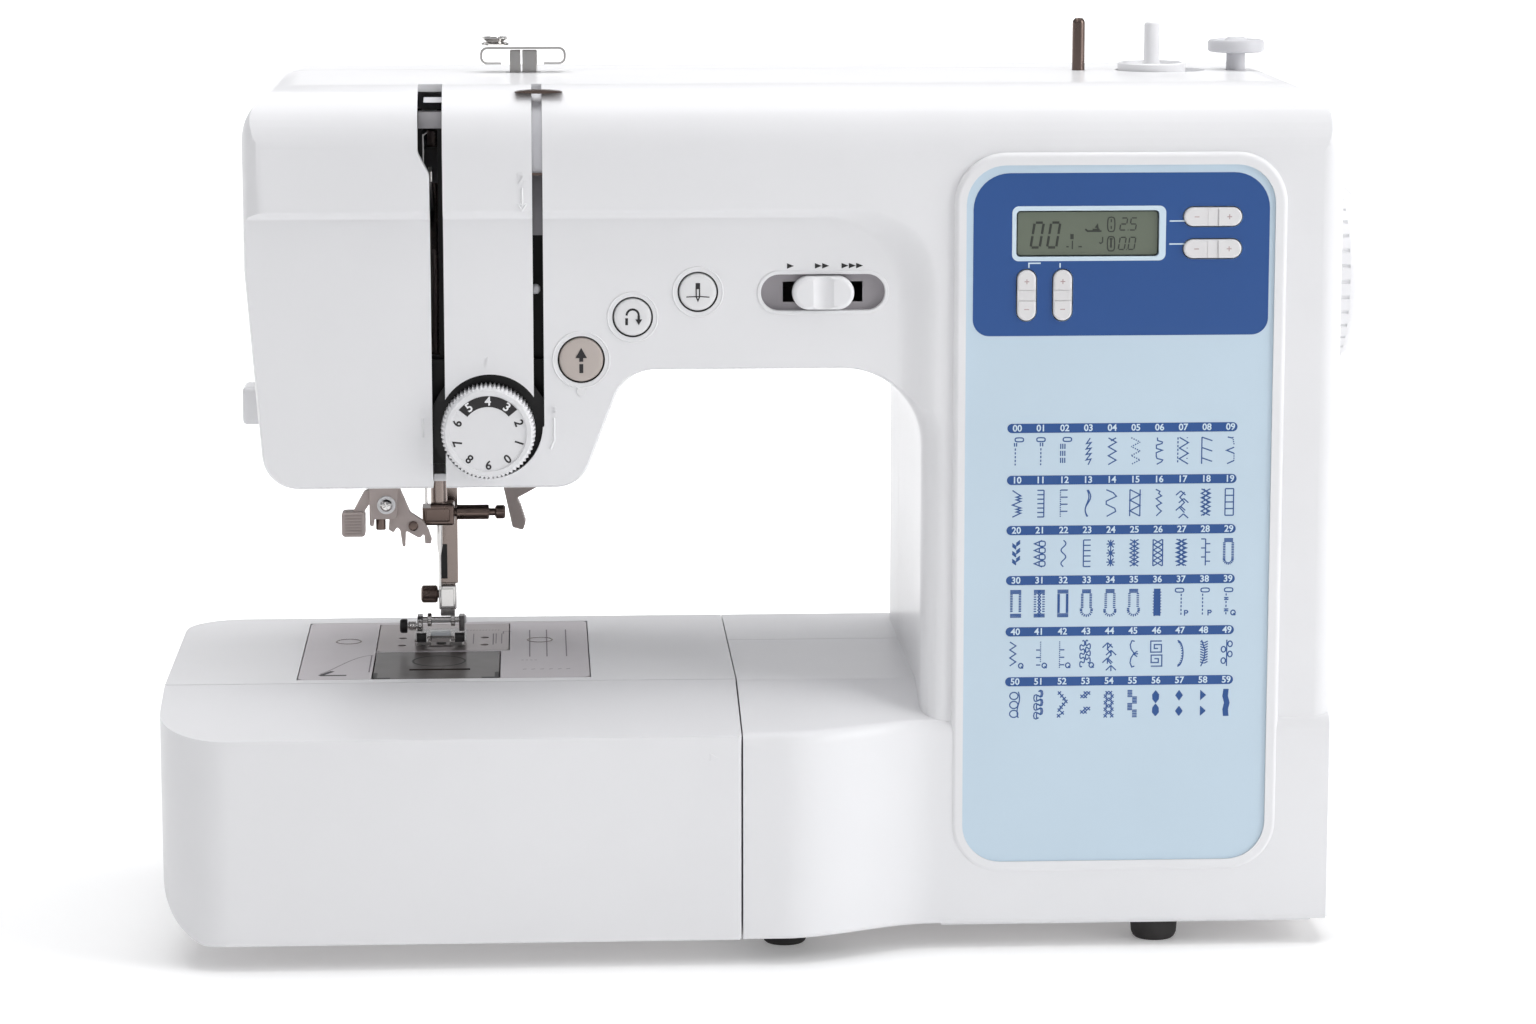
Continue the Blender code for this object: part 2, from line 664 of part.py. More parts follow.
def presser_parts():
    x, y = PRESSER_XY
    bar = part(rod((x, y, 108.6), (x, y, 250), PRESSER_BAR_R), "presser_bar", "steel", (x, y, 130))
    add(bar, box((x - 3.6, y - 3.4, 108.8), (x + 1.6, y - 1.5, 150)))
    holder = part(
        soft_box((x - 5.6, y - 4.6, 97.1), (x + 2.4, y + 4.2, 108.2), 0.6), "foot_holder",
        "chrome", (x, y, 104),
    )
    cut(holder, rod((x - 12, y, 104.5), (x - 3.4, y, 104.5), 1.8, 12))
    screw = part(rod((x - 12.4, y, 104.5), (x - 6.2, y, 104.5), 3.1, 20), "foot_screw", "steel")
    add(screw, rod((x - 8, y, 104.5), (x - 3.8, y, 104.5), 1.4, 12))
    foot_parts()


def foot_parts():
    """The zigzag foot: two toes, side walls that hold its cross pin, and a locking pin."""
    x, y = NEEDLE_XY
    pin_y, pin_z = FOOT_PIN
    sole = rectangle((x - 9, 9), (x + 9, 34), 2.0)
    obj = part(prism(sole, "Z", 88.9, 91.0), "presser_foot", "chrome", (x, pin_y, pin_z))
    cut(obj, prism(rectangle((x - 4.8, 15), (x + 4.8, 20.5), 1.0), "Z", 80, 95))
    cut(obj, prism(rectangle((x - 3.2, 0), (x + 3.2, 17), 0.5), "Z", 80, 95))
    cut(obj, prism([(4, 86), (14, 88.4), (14, 88.9), (9, 90.2), (4, 91)], "X", x - 20, x + 20))
    cut(obj, prism([(28, 86), (38, 86), (38, 91), (30, 88.9)], "X", x - 20, x + 20))
    for side in (-1, 1):
        inner, outer = sorted((x + side * 6.4, x + side * 8.4))
        wall = [(18, 90), (33, 90), (33, 96), (30, 97.4), (26, 97.4), (20, 93)]
        add(obj, prism(wall, "X", inner, outer))
    add(obj, rod((x - 7, pin_y, pin_z), (x + 7, pin_y, pin_z), 1.1, 12))
    add(obj, rod((x - 12, pin_y - 5, 94.4), (x - 7, pin_y - 5, 94.4), 1.0, 10))
    add(obj, rod((x - 14.4, pin_y - 5, 94.4), (x - 11.6, pin_y - 5, 94.4), 2.5, 16))


FOOT_PIN = (28.0, 95.6)


def presser_foot_lever():
    """A cranked lever behind the head, raised to the right to lift the foot."""
    x, y, z = LIFTER
    outline = [
        (-4, 4), (-4, -6), (-1, -13), (6, -22), (10, -26), (10.5, -41), (15.5, -43),
        (18.5, -28), (23, -19), (6, -11), (4, -5), (4, 4),
    ]
    points = [(x + u, z + v) for u, v in outline]
    obj = part(prism(points, "Y", y - 3.5, y + 3.5), "presser_foot_lever", "grey", LIFTER)
    cut(obj, rod((x, y - 8, z), (x, y + 8, z), 1.6, 12))


LIFTER = (-103.0, 55.0, 165.0)


def needle_threader():
    """The threader hangs left of the needle: a finger tab, a carriage and a wire guide."""
    y0, y1 = 5.5, 11.5
    tab = rectangle((-148.4, 129.5), (-140.2, 138.2), 1.2)
    obj = part(prism(tab, "Y", y0, y1), "needle_threader", "grey", (-132.8, 8.5, 140))
    arm = [(-145, 136), (-141, 136), (-139, 141), (-133, 142), (-133, 146), (-140, 145)]
    add(obj, prism(arm, "Y", y0 + 1, y1 - 1))
    add(obj, soft_box((-138.6, y0 - 0.5, 135.4), (-128.6, y1 + 0.5, 147), 1.0))
    guide = [
        (-131, 138), (-128, 126), (-126, 126), (-125.5, 131), (-120, 128), (-117, 126.5),
        (-117.6, 131), (-121, 136), (-128.5, 146), (-131, 146),
    ]
    add(obj, prism(guide, "Y", y0 + 1.5, y1 - 1.5))
    add(obj, box((-135.4, y0 + 1, 145), (-130.4, y1 - 1, 200)))
    add(obj, rod((-133.4, y0 - 1.6, 141), (-133.4, y1, 141), 3.2, 20))
    return obj


def take_up_lever():
    """A thin steel arm that swings in the left-hand slot of the head."""
    x, y, z = TAKE_UP
    reach = 56.0
    angle = math.radians(24)
    direction = Vector((-math.cos(angle), math.sin(angle)))
    side = Vector((direction.y, -direction.x))
    tip = Vector((y, z)) + direction * reach
    foot = Vector((y, z))
    outline = [
        foot - side * 6 - direction * 6, foot + side * 6 - direction * 6, foot + side * 6,
        tip + side * 2.6, tip + direction * 2.6, tip - side * 2.6, foot - side * 6,
    ]
    obj = part(prism(outline, "X", x - 0.7, x + 0.7), "take_up_lever", "chrome", TAKE_UP)
    cut(obj, rod((x - 5, tip.x, tip.y), (x + 5, tip.x, tip.y), 1.2, 12))
    cut(obj, rod((x - 5, y, z), (x + 5, y, z), 2.2, 12))


TAKE_UP = (-115.0, -2.0, 238.0)


# ---------------------------------------------------------------- drive train


def belt(name, x_range, first, second, first_r, second_r):
    """A flat belt round two pulleys that turn about axes along X."""
    start, end = Vector(first), Vector(second)
    angle = math.atan2(end.y - start.y, end.x - start.x)
    lean = math.asin((first_r - second_r) / (end - start).length)

    def ring(extra):
        points = []
        for centre, radius, middle, spread in (
            (start, first_r, angle + math.pi, math.pi / 2 + lean),
            (end, second_r, angle, math.pi / 2 - lean),
        ):
            for k in range(9):
                turn = middle - spread + 2 * spread * k / 8
                arm = Vector((math.cos(turn), math.sin(turn)))
                points.append(centre + arm * (radius + extra))
        return points

    obj = part(prism(ring(2.0), "X", *x_range), name, "rubber")
    cut(obj, prism(ring(0.5), "X", x_range[0] - 5, x_range[1] + 5))


def upper_shaft():
    y, z = SHAFT_YZ
    obj = part(rod((-92, y, z), (187.8, y, z), SHAFT_R), "upper_shaft", "steel", (0, y, z))
    add(obj, rod((-98, y, z), (-91, y, z), 15, 28))
    add(obj, rod((MOTOR_BELT_X[0], y, z), (MOTOR_BELT_X[1], y, z), BIG_PULLEY_R, 36))
    add(obj, rod((TIMING_BELT_X[0], y, z), (TIMING_BELT_X[1], y, z), TIMING_PULLEY_R, 28))


def handwheel():
    """A cupped wheel with a rounded outer face and a hub that reaches the shaft."""
    y, z = SHAFT_YZ
    face = RIGHT_X
    profile = [
        (0, 188.4), (9, 188.4), (12, face - 4), (WHEEL_R - 2.6, face - 5),
        (WHEEL_R - 2.4, 188.6), (WHEEL_R, 188.6), (WHEEL_R, face - 7),
        (WHEEL_R - 1.4, face - 3.4), (WHEEL_R - 4.4, face - 0.9), (WHEEL_R - 9, face), (0, face),
    ]
    turned("handwheel", "white", profile, (0, y, z), (1, 0, 0), 48)


def lower_shaft():
    y, z = LOWER_YZ
    obj = part(rod((-121, y, z), (166, y, z), SHAFT_R), "lower_shaft", "steel", (0, y, z))
    add(obj, rod((-120, y, z), (-108, y, z), 13.4, 28))
    add(obj, rod((TIMING_BELT_X[0], y, z), (TIMING_BELT_X[1], y, z), TIMING_PULLEY_R, 28))


def motor_parts():
    y, z = MOTOR_YZ
    motor = part(rod((50, y, z), (112, y, z), 20, 28), "motor", "cast")
    add(motor, rod((111, y, z), (118, y, z), 8, 20))
    cut(motor, rod((105, y, z), (130, y, z), 2.4, 12))
    pulley = part(rod((107, y, z), (149, y, z), 1.9, 12), "motor_pulley", "steel", (0, y, z))
    add(pulley, rod((MOTOR_BELT_X[0], y, z), (MOTOR_BELT_X[1], y, z), MOTOR_PULLEY_R, 20))
    belt("motor_belt", MOTOR_BELT_X, MOTOR_YZ, SHAFT_YZ, MOTOR_PULLEY_R, BIG_PULLEY_R)
    belt("timing_belt", TIMING_BELT_X, LOWER_YZ, SHAFT_YZ, TIMING_PULLEY_R, TIMING_PULLEY_R)


def machine_frame():
    """The cast C frame that carries both shafts and the needle and presser bars."""
    outline = [
        (-160, 32, 6), (150, 32, 6), (150, 272, 10), (-150, 272, 10), (-150, 176, 6),
        (-124, 176, 6), (-124, 206, 8), (104, 206, 14), (104, 64, 14), (-160, 64, 6),
    ]
    back, front = 52.0, 42.0
    obj = part(prism(rounded(outline, steps=3), "Y", front, back), "machine_frame", "cast")
    y, z = SHAFT_YZ
    for x in (-60, 118):
        add(obj, box((x, y - 9, z - 10), (x + 9, front + 1, z + 10)))
        cut(obj, rod((x - 3, y, z), (x + 12, y, z), SHAFT_R + 0.4))
    y, z = LOWER_YZ
    for x in (-60, 118):
        add(obj, box((x, y - 9, z - 9), (x + 9, front + 1, z + 9)))
        cut(obj, rod((x - 3, y, z), (x + 12, y, z), SHAFT_R + 0.4))
    for low in (180, 252):
        add(obj, box((-124, 11, low), (-102, front + 1, low + 12)))
        cut(obj, rod((*NEEDLE_XY, low - 5), (*NEEDLE_XY, low + 17), NEEDLE_BAR_R + 0.4))
        cut(obj, rod((*PRESSER_XY, low - 5), (*PRESSER_XY, low + 17), PRESSER_BAR_R + 0.4))


# ---------------------------------------------------------------- controls


def control_panel():
    face = (PANEL_FACE_Y, PANEL_FACE_Y + 2)
    obj = part(prism(rectangle(PANEL_LO, PANEL_HI, 12.6), "Y", *face), "control_panel", "blue")
    hole = (face[0] - 5, face[1] + 5)
    cut(obj, prism(rectangle(LCD_LO, LCD_HI, 1.5), "Y", *hole))
    for x, z, way in KEYS.values():
        long, wide = KEY_LONG + 2 * GAP, KEY_WIDE + 2 * GAP
        cut(obj, prism(key_outline(x, z, way, long, wide), "Y", *hole))


def key_outline(x, z, way, long, wide):
    if way == "across":
        return pill((x, z), long, wide)
    return [(x - v, z + u) for u, v in pill((0, 0), long - 2.4, wide)]


def keys():
    """Four rocking keys, each one moulding pressed at either end."""
    y0, y1 = PANEL_FACE_Y - 1.0, PANEL_FACE_Y + 2.4
    for name, (x, z, way) in KEYS.items():
        outline = key_outline(x, z, way, KEY_LONG, KEY_WIDE)
        body = round_rim(prism(outline, "Y", y0, y1), 1, y0, 0.7, 2)
        part(body, name, "white", (x, PANEL_FACE_Y + 1, z))


def lcd_module():
    lo = (LCD_LO[0] + 0.4, LCD_LO[1] + 0.4)
    hi = (LCD_HI[0] - 0.4, LCD_HI[1] - 0.4)
    obj = part(prism(rectangle(lo, hi, 1.2), "Y", -70.4, -68.0), "lcd_module", "lcd")
    add(obj, box((lo[0] - 3, -68.5, lo[1] - 3), (hi[0] + 3, -65.5, hi[1] + 3)))


def winder_arm():
    """The sliding carriage that carries the bobbin winder's shaft."""
    x, y = WINDER_X, TOP_ROW_Y
    obj = part(box((x - 9, y - 8, 262), (x + 9, y + 22, 269)), "winder_arm", "dark", (x, y, 265))
    cut(obj, rod((x, y, 255), (x, y, 280), 3.4))


def tension_dial():
    x, z = DIAL_XZ
    y0, y1 = RECESS_Y - 5.5, RECESS_Y + 9
    count = 60
    ring = []
    for k in range(count):
        radius = DIAL_R - (0.35 if k % 2 else 0.0)
        turn = math.tau * k / count
        ring.append((x + radius * math.cos(turn), z + radius * math.sin(turn)))
    body = round_rim(prism(ring, "Y", y0, y1), 1, y0, 0.8, 1)
    obj = part(body, "tension_dial", "white", (x, y0, z))
    add(obj, rod((x, y1 - 1, z), (x, y1 + 14, z), 4, 16))


def buttons():
    places = (
        ("start_stop_button", START_XZ, 7.3, "grey"),
        ("reverse_button", REVERSE_XZ, 6.2, "white"),
        ("needle_position_button", POSITION_XZ, 6.2, "white"),
    )
    for name, (x, z), radius, colour in places:
        depth = RECESS_Y - 0.6
        profile = [(0, 0), (radius - 1.2, 0.1), (radius, 0.9), (radius, 7), (0, 7)]
        turned(name, colour, profile, (x, depth, z), (0, 1, 0))


def speed_knob():
    x, z = SPEED_XZ
    y0, y1 = RECESS_Y - 3.4, RECESS_Y + 1.6
    body = round_rim(prism(pill(SPEED_XZ, 20.4, 11.0), "Y", y0, y1), 1, y0, 1.6, 3)
    obj = part(body, "speed_knob", "white", (x, y0, z))
    add(obj, box((x - 3, y1 - 1, z - 3), (x + 3, y1 + 8, z + 3)))


def power_parts():
    """Mains inlet and rocker switch, low on the right-hand side."""
    face = COLUMN_RIGHT_X
    inlet = part(box((face - 16, -24, 40), (face + 0.6, 0, 64)), "power_inlet", "dark")
    cut(inlet, soft_box((face - 12, -20, 44), (face + 6, -4, 60), 2))
    for y in (-16, -8):
        add(inlet, rod((face - 14, y, 52), (face - 3, y, 52), 1.2, 10))
    rocker = [
        (face - 6, 100.2), (face + 1.6, 100.2), (face + 0.4, 113), (face + 1.6, 125.8),
        (face - 6, 125.8),
    ]
    part(prism(rocker, "Y", -22, -4), "power_switch", "dark", (face - 2, -13, 113))


# ---------------------------------------------------------------- top, thread path, handle


def top_parts():
    y = TOP_ROW_Y
    pin_profile = [(0, 238), (2.2, 238), (2.2, 306.6), (1.4, 307.8), (0, 308)]
    turned("spool_pin", "steel", pin_profile, (SPOOL_X, y, 0), sides=16)
    post = [
        (0, 258), (3.0, 258), (3.0, 288.6), (11.2, 288.6), (11.7, 289.5), (11.7, 292.6),
        (10.2, 292.6), (10.2, 291.2), (2.8, 291.2), (2.8, 306), (2.2, 306.5), (0, 306.5),
    ]
    turned("winder_shaft", "white", post, (WINDER_X, y, 0))
    stop = [
        (0, 278), (3.3, 278), (3.3, 296.2), (9.4, 296.2), (9.8, 297), (9.8, 300), (8.6, 300.4),
        (3.5, 300.4), (3, 301.2), (0, 301.4),
    ]
    turned("winder_stop", "grey", stop, (STOP_X, y, 0))


def thread_guide():
    """The bobbin-winding guide: a bracket, a bent wire-catching strip and a tension disc."""
    y = TOP_ROW_Y
    bracket = part(
        box((GUIDE_X - 4.6, y - 1, 262), (GUIDE_X + 4.8, y + 1, 297.6)),
        "thread_guide_bracket", "steel",
    )
    cut(bracket, box((GUIDE_X - 0.9, y - 3, 291), (GUIDE_X - 0.3, y + 3, 299)))
    outer = rounded([(-98.7, 292.9, 2), (-69.4, 292.9, 2), (-69.4, 298.9, 2), (-98.7, 298.9, 2)])
    strip = part(prism(outer, "Y", y - 5, y + 5), "thread_guide_plate", "chrome")
    inner = rounded([(-97.9, 293.7, 1.2), (-70.2, 293.7, 1.2), (-70.2, 298.1, 1.2),
                     (-97.9, 298.1, 1.2)])
    cut(strip, prism(inner, "Y", y - 9, y + 9))
    cut(strip, box((-92, y - 9, 290), (-76.5, y + 9, 295)))
    stud = [(0, 299.3), (3.8, 299.3), (4.6, 302), (4.0, 302.2), (3.4, 300.4), (0, 300.8)]
    turned("pretension_disc", "chrome", stud, (-93.6, y, 0), sides=20)


def thread_path_guard():
    """A dark channel behind the head's two thread slots."""
    y0, y1 = RECESS_Y + WALL + 14.5, RECESS_Y + WALL + 16.5
    obj = part(box((-124, y0, 196), (-72, y1, 282)), "thread_path_guard", "dark")
    cut(obj, box((-117.5, y0 - 3, 200), (-112.5, y1 + 3, 290)))


HANDLE_X = (-45.0, 85.0)
HANDLE_EARS_X = (HANDLE_X[0] - 4.5, HANDLE_X[1] + 4.5)
HANDLE_PIVOT = (20.0, 78.0, 262.0)


def carry_handle():
    """A U-shaped bail that hangs behind the arm and swings up to carry the machine."""
    x0, x1 = HANDLE_X
    bar = 10.0
    outline = [
        (x0, 212, 8), (x1, 212, 8), (x1, 267, 2), (x1 - bar, 267, 2),
        (x1 - bar, 212 + bar + 3, 6), (x0 + bar, 212 + bar + 3, 6), (x0 + bar, 267, 2),
        (x0, 267, 2),
    ]
    y = HANDLE_PIVOT[1]
    body = prism(rounded(outline), "Y", y - 4.5, y + 4.5)
    obj = part(body, "carry_handle", "white", HANDLE_PIVOT)
    z = HANDLE_PIVOT[2]
    for start, end in ((x0 + 4, x0 - 6), (x1 - 4, x1 + 6)):
        add(obj, rod((start, y, z), (end, y, z), 2.1, 16))


def build():
    front_cover()
    rear_cover()
    free_arm_shell()
    base_plate()
    rubber_feet()
    tray_cover()
    tray_body()
    needle_plate_cover()
    needle_plate()
    bobbin_cover()
    feed_parts()
    drop_feed_lever()
    hook_parts()
    needle_parts()
    presser_parts()
    presser_foot_lever()
    needle_threader()
    take_up_lever()
    upper_shaft()
    handwheel()
    lower_shaft()
    motor_parts()
    machine_frame()
    control_panel()
    keys()
    lcd_module()
    winder_arm()
    tension_dial()
    buttons()
    speed_knob()
    power_parts()
    top_parts()
    thread_guide()
    thread_path_guard()
    carry_handle()


clear_scene()
machine = make_collection("sewing_machine", hidden=False)
cutters = make_collection("cutters", hidden=True)
build()
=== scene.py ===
import math

import bmesh
import bpy
from mathutils import Matrix, Vector


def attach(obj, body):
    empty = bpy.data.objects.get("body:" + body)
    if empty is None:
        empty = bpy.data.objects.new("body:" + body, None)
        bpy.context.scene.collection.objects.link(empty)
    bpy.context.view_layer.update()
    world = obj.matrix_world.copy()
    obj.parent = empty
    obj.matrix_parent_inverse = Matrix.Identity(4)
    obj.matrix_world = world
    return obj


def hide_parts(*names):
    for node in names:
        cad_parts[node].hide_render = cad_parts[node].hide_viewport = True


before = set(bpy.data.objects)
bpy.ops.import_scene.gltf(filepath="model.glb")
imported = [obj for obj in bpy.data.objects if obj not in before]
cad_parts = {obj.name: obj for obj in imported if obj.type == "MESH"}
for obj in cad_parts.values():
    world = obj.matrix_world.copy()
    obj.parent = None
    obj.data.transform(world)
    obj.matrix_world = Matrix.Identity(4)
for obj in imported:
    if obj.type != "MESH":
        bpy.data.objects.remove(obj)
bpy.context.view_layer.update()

# ---------------------------------------------------------------- table and lights
# A white table, a large soft light overhead, a broad one at the front left and a fill from
# the right. A low bright screen far behind picks out the top edges. The camera stands a metre
# and a half away, a little above the arm.

MM = 0.001


class Wire:
    """One output of a shader node, used as a number in Python expressions."""

    def __init__(self, finish, socket):
        self.finish = finish
        self.socket = socket

    def _math(self, operation, *inputs):
        values = dict(enumerate(inputs))
        return self.finish.node("ShaderNodeMath", {"operation": operation}, values)

    def __add__(self, other):
        return self._math("ADD", self, other)

    def __mul__(self, other):
        return self._math("MULTIPLY", self, other)

    __radd__ = __add__
    __rmul__ = __mul__


def tone(red, green, blue):
    """A paint chip's display values (0 to 255) as linear light."""
    return [round((part / 255) ** 2.2, 4) for part in (red, green, blue)]


class Finish:
    """A surface finish: a Principled shader whose plain numbers are set on its own sockets."""

    def __init__(self, name, colour, roughness, **constants):
        self.colour = colour
        self.roughness = roughness
        self.material = bpy.data.materials.new(name)
        self.material.use_nodes = True
        self.tree = self.material.node_tree
        self.shader = self.tree.nodes["Principled BSDF"]
        self.shader.inputs["Base Color"].default_value = (*colour, 1)
        self.shader.inputs["Roughness"].default_value = roughness
        for socket, value in constants.items():
            self.shader.inputs[socket.replace("_", " ")].default_value = value

    def node(self, kind, settings=None, sockets=None, output=0):
        made = self.tree.nodes.new(kind)
        for key, value in (settings or {}).items():
            if key == "stops":
                for stop, (place, shade) in zip(made.color_ramp.elements, value):
                    stop.position = place
                    stop.color = (*shade, 1)
            else:
                setattr(made, key, value)
        for key, value in (sockets or {}).items():
            if isinstance(value, Wire):
                self.tree.links.new(value.socket, made.inputs[key])
            else:
                made.inputs[key].default_value = value
        return Wire(self, made.outputs[output])

    def feed(self, socket, wire):
        self.tree.links.new(wire.socket, self.shader.inputs[socket])

    def place(self):
        """Object coordinates in millimetres."""
        source = self.node("ShaderNodeTexCoord", output="Object")
        return self.node("ShaderNodeMapping", {}, {"Vector": source, "Scale": [1 / MM] * 3})

    def noise(self, size, detail=3.0):
        return self.node(
            "ShaderNodeTexNoise", {},
            {"Vector": self.place(), "Scale": 1 / size, "Detail": detail},
        )

    def vary_colour(self, pattern, low, high):
        """Shades the base colour between two close tones."""
        ramp = {"stops": ((0.3, low), (0.7, high))}
        self.feed("Base Color", self.node("ShaderNodeValToRGB", ramp, {"Fac": pattern}))

    def vary_roughness(self, pattern, middle, spread):
        self.feed("Roughness", pattern * spread + (middle - spread / 2))

    def grain(self, pattern, height, strength=1.0):
        """Relief, with its height in millimetres."""
        self.feed("Normal", self.node(
            "ShaderNodeBump", {},
            {"Height": pattern, "Distance": height * MM, "Strength": strength},
        ))


def moulded(name, colour, roughness, mottle=0.02, relief=0.01, pore=2.2, **constants):
    """A plastic or metal with a slight mottle, an uneven polish and a fine relief."""
    finish = Finish(name, colour, roughness, **constants)
    shades = [[min(part * (1 + way * mottle), 1) for part in colour] for way in (-1, 1)]
    finish.vary_colour(finish.noise(60, 2), *shades)
    finish.vary_roughness(finish.noise(9), roughness, 0.25 * roughness)
    finish.grain(finish.noise(pore, 2), relief, 0.5)
    return finish


scene = bpy.context.scene
scene.view_settings.view_transform = "Standard"
world = bpy.data.worlds.new("studio")
world.use_nodes = True
world.node_tree.nodes["Background"].inputs["Color"].default_value = (0.97, 0.975, 1.0, 1)
world.node_tree.nodes["Background"].inputs["Strength"].default_value = 0.35
scene.world = world


def softbox(name, spot, aim, width, height, power):
    lamp = bpy.data.lights.new(name, "AREA")
    lamp.shape = "RECTANGLE"
    lamp.size = width
    lamp.size_y = height
    lamp.energy = power
    holder = bpy.data.objects.new(name, lamp)
    holder.location = spot
    holder.rotation_euler = (Vector(aim) - Vector(spot)).to_track_quat("-Z", "Y").to_euler()
    scene.collection.objects.link(holder)


softbox("overhead", (0.0, 0.15, 1.5), (0, 0.05, 0.1), 1.7, 1.2, 18)
softbox("front_left", (-1.0, -1.2, 1.7), (0, 0, 0.15), 1.1, 1.1, 3.5)
softbox("right_fill", (1.6, -0.7, 0.8), (0, 0, 0.15), 0.9, 1.2, 17)

def set_sheet(name, half_side, finish, place=Matrix()):
    """A flat sheet of the set, which isn't part of the machine."""
    bm = bmesh.new()
    bmesh.ops.create_grid(bm, x_segments=1, y_segments=1, size=half_side)
    bmesh.ops.transform(bm, matrix=place, verts=bm.verts)
    mesh = bpy.data.meshes.new(name)
    bm.to_mesh(mesh)
    bm.free()
    mesh.materials.append(finish.material)
    sheet = bpy.data.objects.new(name, mesh)
    scene.collection.objects.link(sheet)


# The table glows, faintly near the machine and strongly far back: painted light that whitens the
# floor behind it like a lit sweep.
table_finish = Finish("white_table_painted_glow", (0.93, 0.93, 0.93), 0.6, Emission_Strength=1.0)
table_finish.vary_roughness(table_finish.noise(40), 0.6, 0.05)
metres_back = table_finish.node(
    "ShaderNodeSeparateXYZ", {}, {0: table_finish.place()}, output="Y",
) * 0.001
table_finish.feed("Emission Color", table_finish.node(
    "ShaderNodeValToRGB", {"stops": ((0.2, (0.18, 0.18, 0.18)), (0.9, (0.9, 0.9, 0.9)))},
    {"Fac": metres_back},
))
set_sheet("table", 40, table_finish)

screen_finish = Finish(
    "lit_backdrop", (0.9, 0.9, 0.9), 0.7, Emission_Strength=1.0, Emission_Color=(1, 1, 1, 1),
)
screen_finish.vary_roughness(screen_finish.noise(60), 0.7, 0.05)
upended = Matrix.Translation((0, 6, -7)) @ Matrix.Rotation(math.radians(90), 4, "X")
set_sheet("backdrop", 8, screen_finish, upended)

camera = bpy.data.cameras.new("camera")
camera.lens = 103.1
camera.sensor_width = 36
camera_holder = bpy.data.objects.new("camera", camera)
camera_holder.location = (-0.082, -1.505, 0.392)
camera_holder.rotation_euler = (math.radians(90 - 9.57), 0, math.radians(-3.1))
scene.collection.objects.link(camera_holder)
scene.camera = camera_holder

# ---------------------------------------------------------------- casing front
# One glossy white injection moulding makes the front of the column, arm, head and base
# block. A shallow field is sunk along the arm and ramps up to the column, a rounded ridge
# frames the control panel, and two thread slots run down the head into the dial's hole.


def soft_outline(corners, steps=10):
    """The points of a flat outline, given anticlockwise as (u, v, corner radius)."""
    points = []
    for i, (u, v, radius) in enumerate(corners):
        here = Vector((u, v))
        if not radius:
            points.append(here)
            continue
        before = (Vector(corners[i - 1][:2]) - here).normalized()
        after = (Vector(corners[(i + 1) % len(corners)][:2]) - here).normalized()
        half = before.angle(after) / 2
        centre = here + (before + after).normalized() * radius / math.sin(half)
        arm = here + before * radius / math.tan(half) - centre
        sweep = arm.angle_signed(here + after * radius / math.tan(half) - centre)
        for k in range(steps + 1):
            turned = arm.copy()
            turned.rotate(Matrix.Rotation(-sweep * k / steps, 2))
            points.append(centre + turned)
    return points


def card(low, high, radius=0.0, steps=8):
    (u0, v0), (u1, v1) = low, high
    return soft_outline(
        [(u0, v0, radius), (u1, v0, radius), (u1, v1, radius), (u0, v1, radius)], steps
    )


def capsule(centre, length, width, steps=12):
    """A slot's outline: two half circles joined by straight sides."""
    u, v = centre
    radius = min(length, width) / 2
    spare = (length - width) / 2
    reach = Vector((spare, 0)) if length > width else Vector((0, -spare))
    first = 90 if length > width else 180
    points = []
    for side in (-1, 1):
        for k in range(2 * steps + 1):
            turn = math.radians(first + (0 if side < 0 else 180) + 90 * k / steps)
            points.append(Vector((u, v)) + reach * side + radius * Vector(
                (math.cos(turn), math.sin(turn))))
    return points


def upright(points, start, end):
    """A flat (x, z) outline, made solid from start to end along Y."""
    return drawn(points, lambda u, v: (u, start, v), (0, end - start, 0))


def sideways(points, start, end):
    """A flat (y, z) outline, made solid from start to end along X."""
    return drawn(points, lambda u, v: (start, u, v), (end - start, 0, 0))


def level(points, start, end):
    """A flat (x, y) outline, made solid from start to end along Z."""
    return drawn(points, lambda u, v: (u, v, start), (0, 0, end - start))


def drawn(points, spot, way):
    bm = bmesh.new()
    face = bm.faces.new([bm.verts.new(spot(*point)) for point in points])
    out = bmesh.ops.extrude_face_region(bm, geom=[face])["geom"]
    moved = [item for item in out if isinstance(item, bmesh.types.BMVert)]
    bmesh.ops.translate(bm, verts=moved, vec=way)
    bmesh.ops.recalc_face_normals(bm, faces=bm.faces)
    return bm


def block(low, high):
    bm = bmesh.new()
    bmesh.ops.create_cube(bm, size=1)
    bmesh.ops.scale(bm, verts=bm.verts, vec=Vector(high) - Vector(low))
    bmesh.ops.translate(bm, verts=bm.verts, vec=(Vector(high) + Vector(low)) / 2)
    return bm


def round_edges(bm, width, segments=4, where=None):
    """Rounds the edges for which where(middle of the edge, edge) holds, or every edge."""
    chosen = [
        e for e in bm.edges
        if where is None or where((e.verts[0].co + e.verts[1].co) / 2, e)
    ]
    bmesh.ops.bevel(
        bm, geom=chosen, offset=width, segments=segments, profile=0.5, affect="EDGES",
        material=-1, clamp_overlap=True,
    )
    return bm


def rim(axis, value):
    """Picks the edges that lie at one level of one axis."""
    return lambda middle, edge: all(abs(v.co[axis] - value) < 1e-3 for v in edge.verts)


def bar(start, end, radius, sides=24):
    start, end = Vector(start), Vector(end)
    bm = bmesh.new()
    bmesh.ops.create_cone(
        bm, cap_ends=True, segments=sides, radius1=radius,
        radius2=radius, depth=(end - start).length,
    )
    turn = (end - start).to_track_quat("Z", "Y").to_matrix().to_4x4()
    bmesh.ops.transform(bm, matrix=Matrix.Translation((start + end) / 2) @ turn, verts=bm.verts)
    return bm


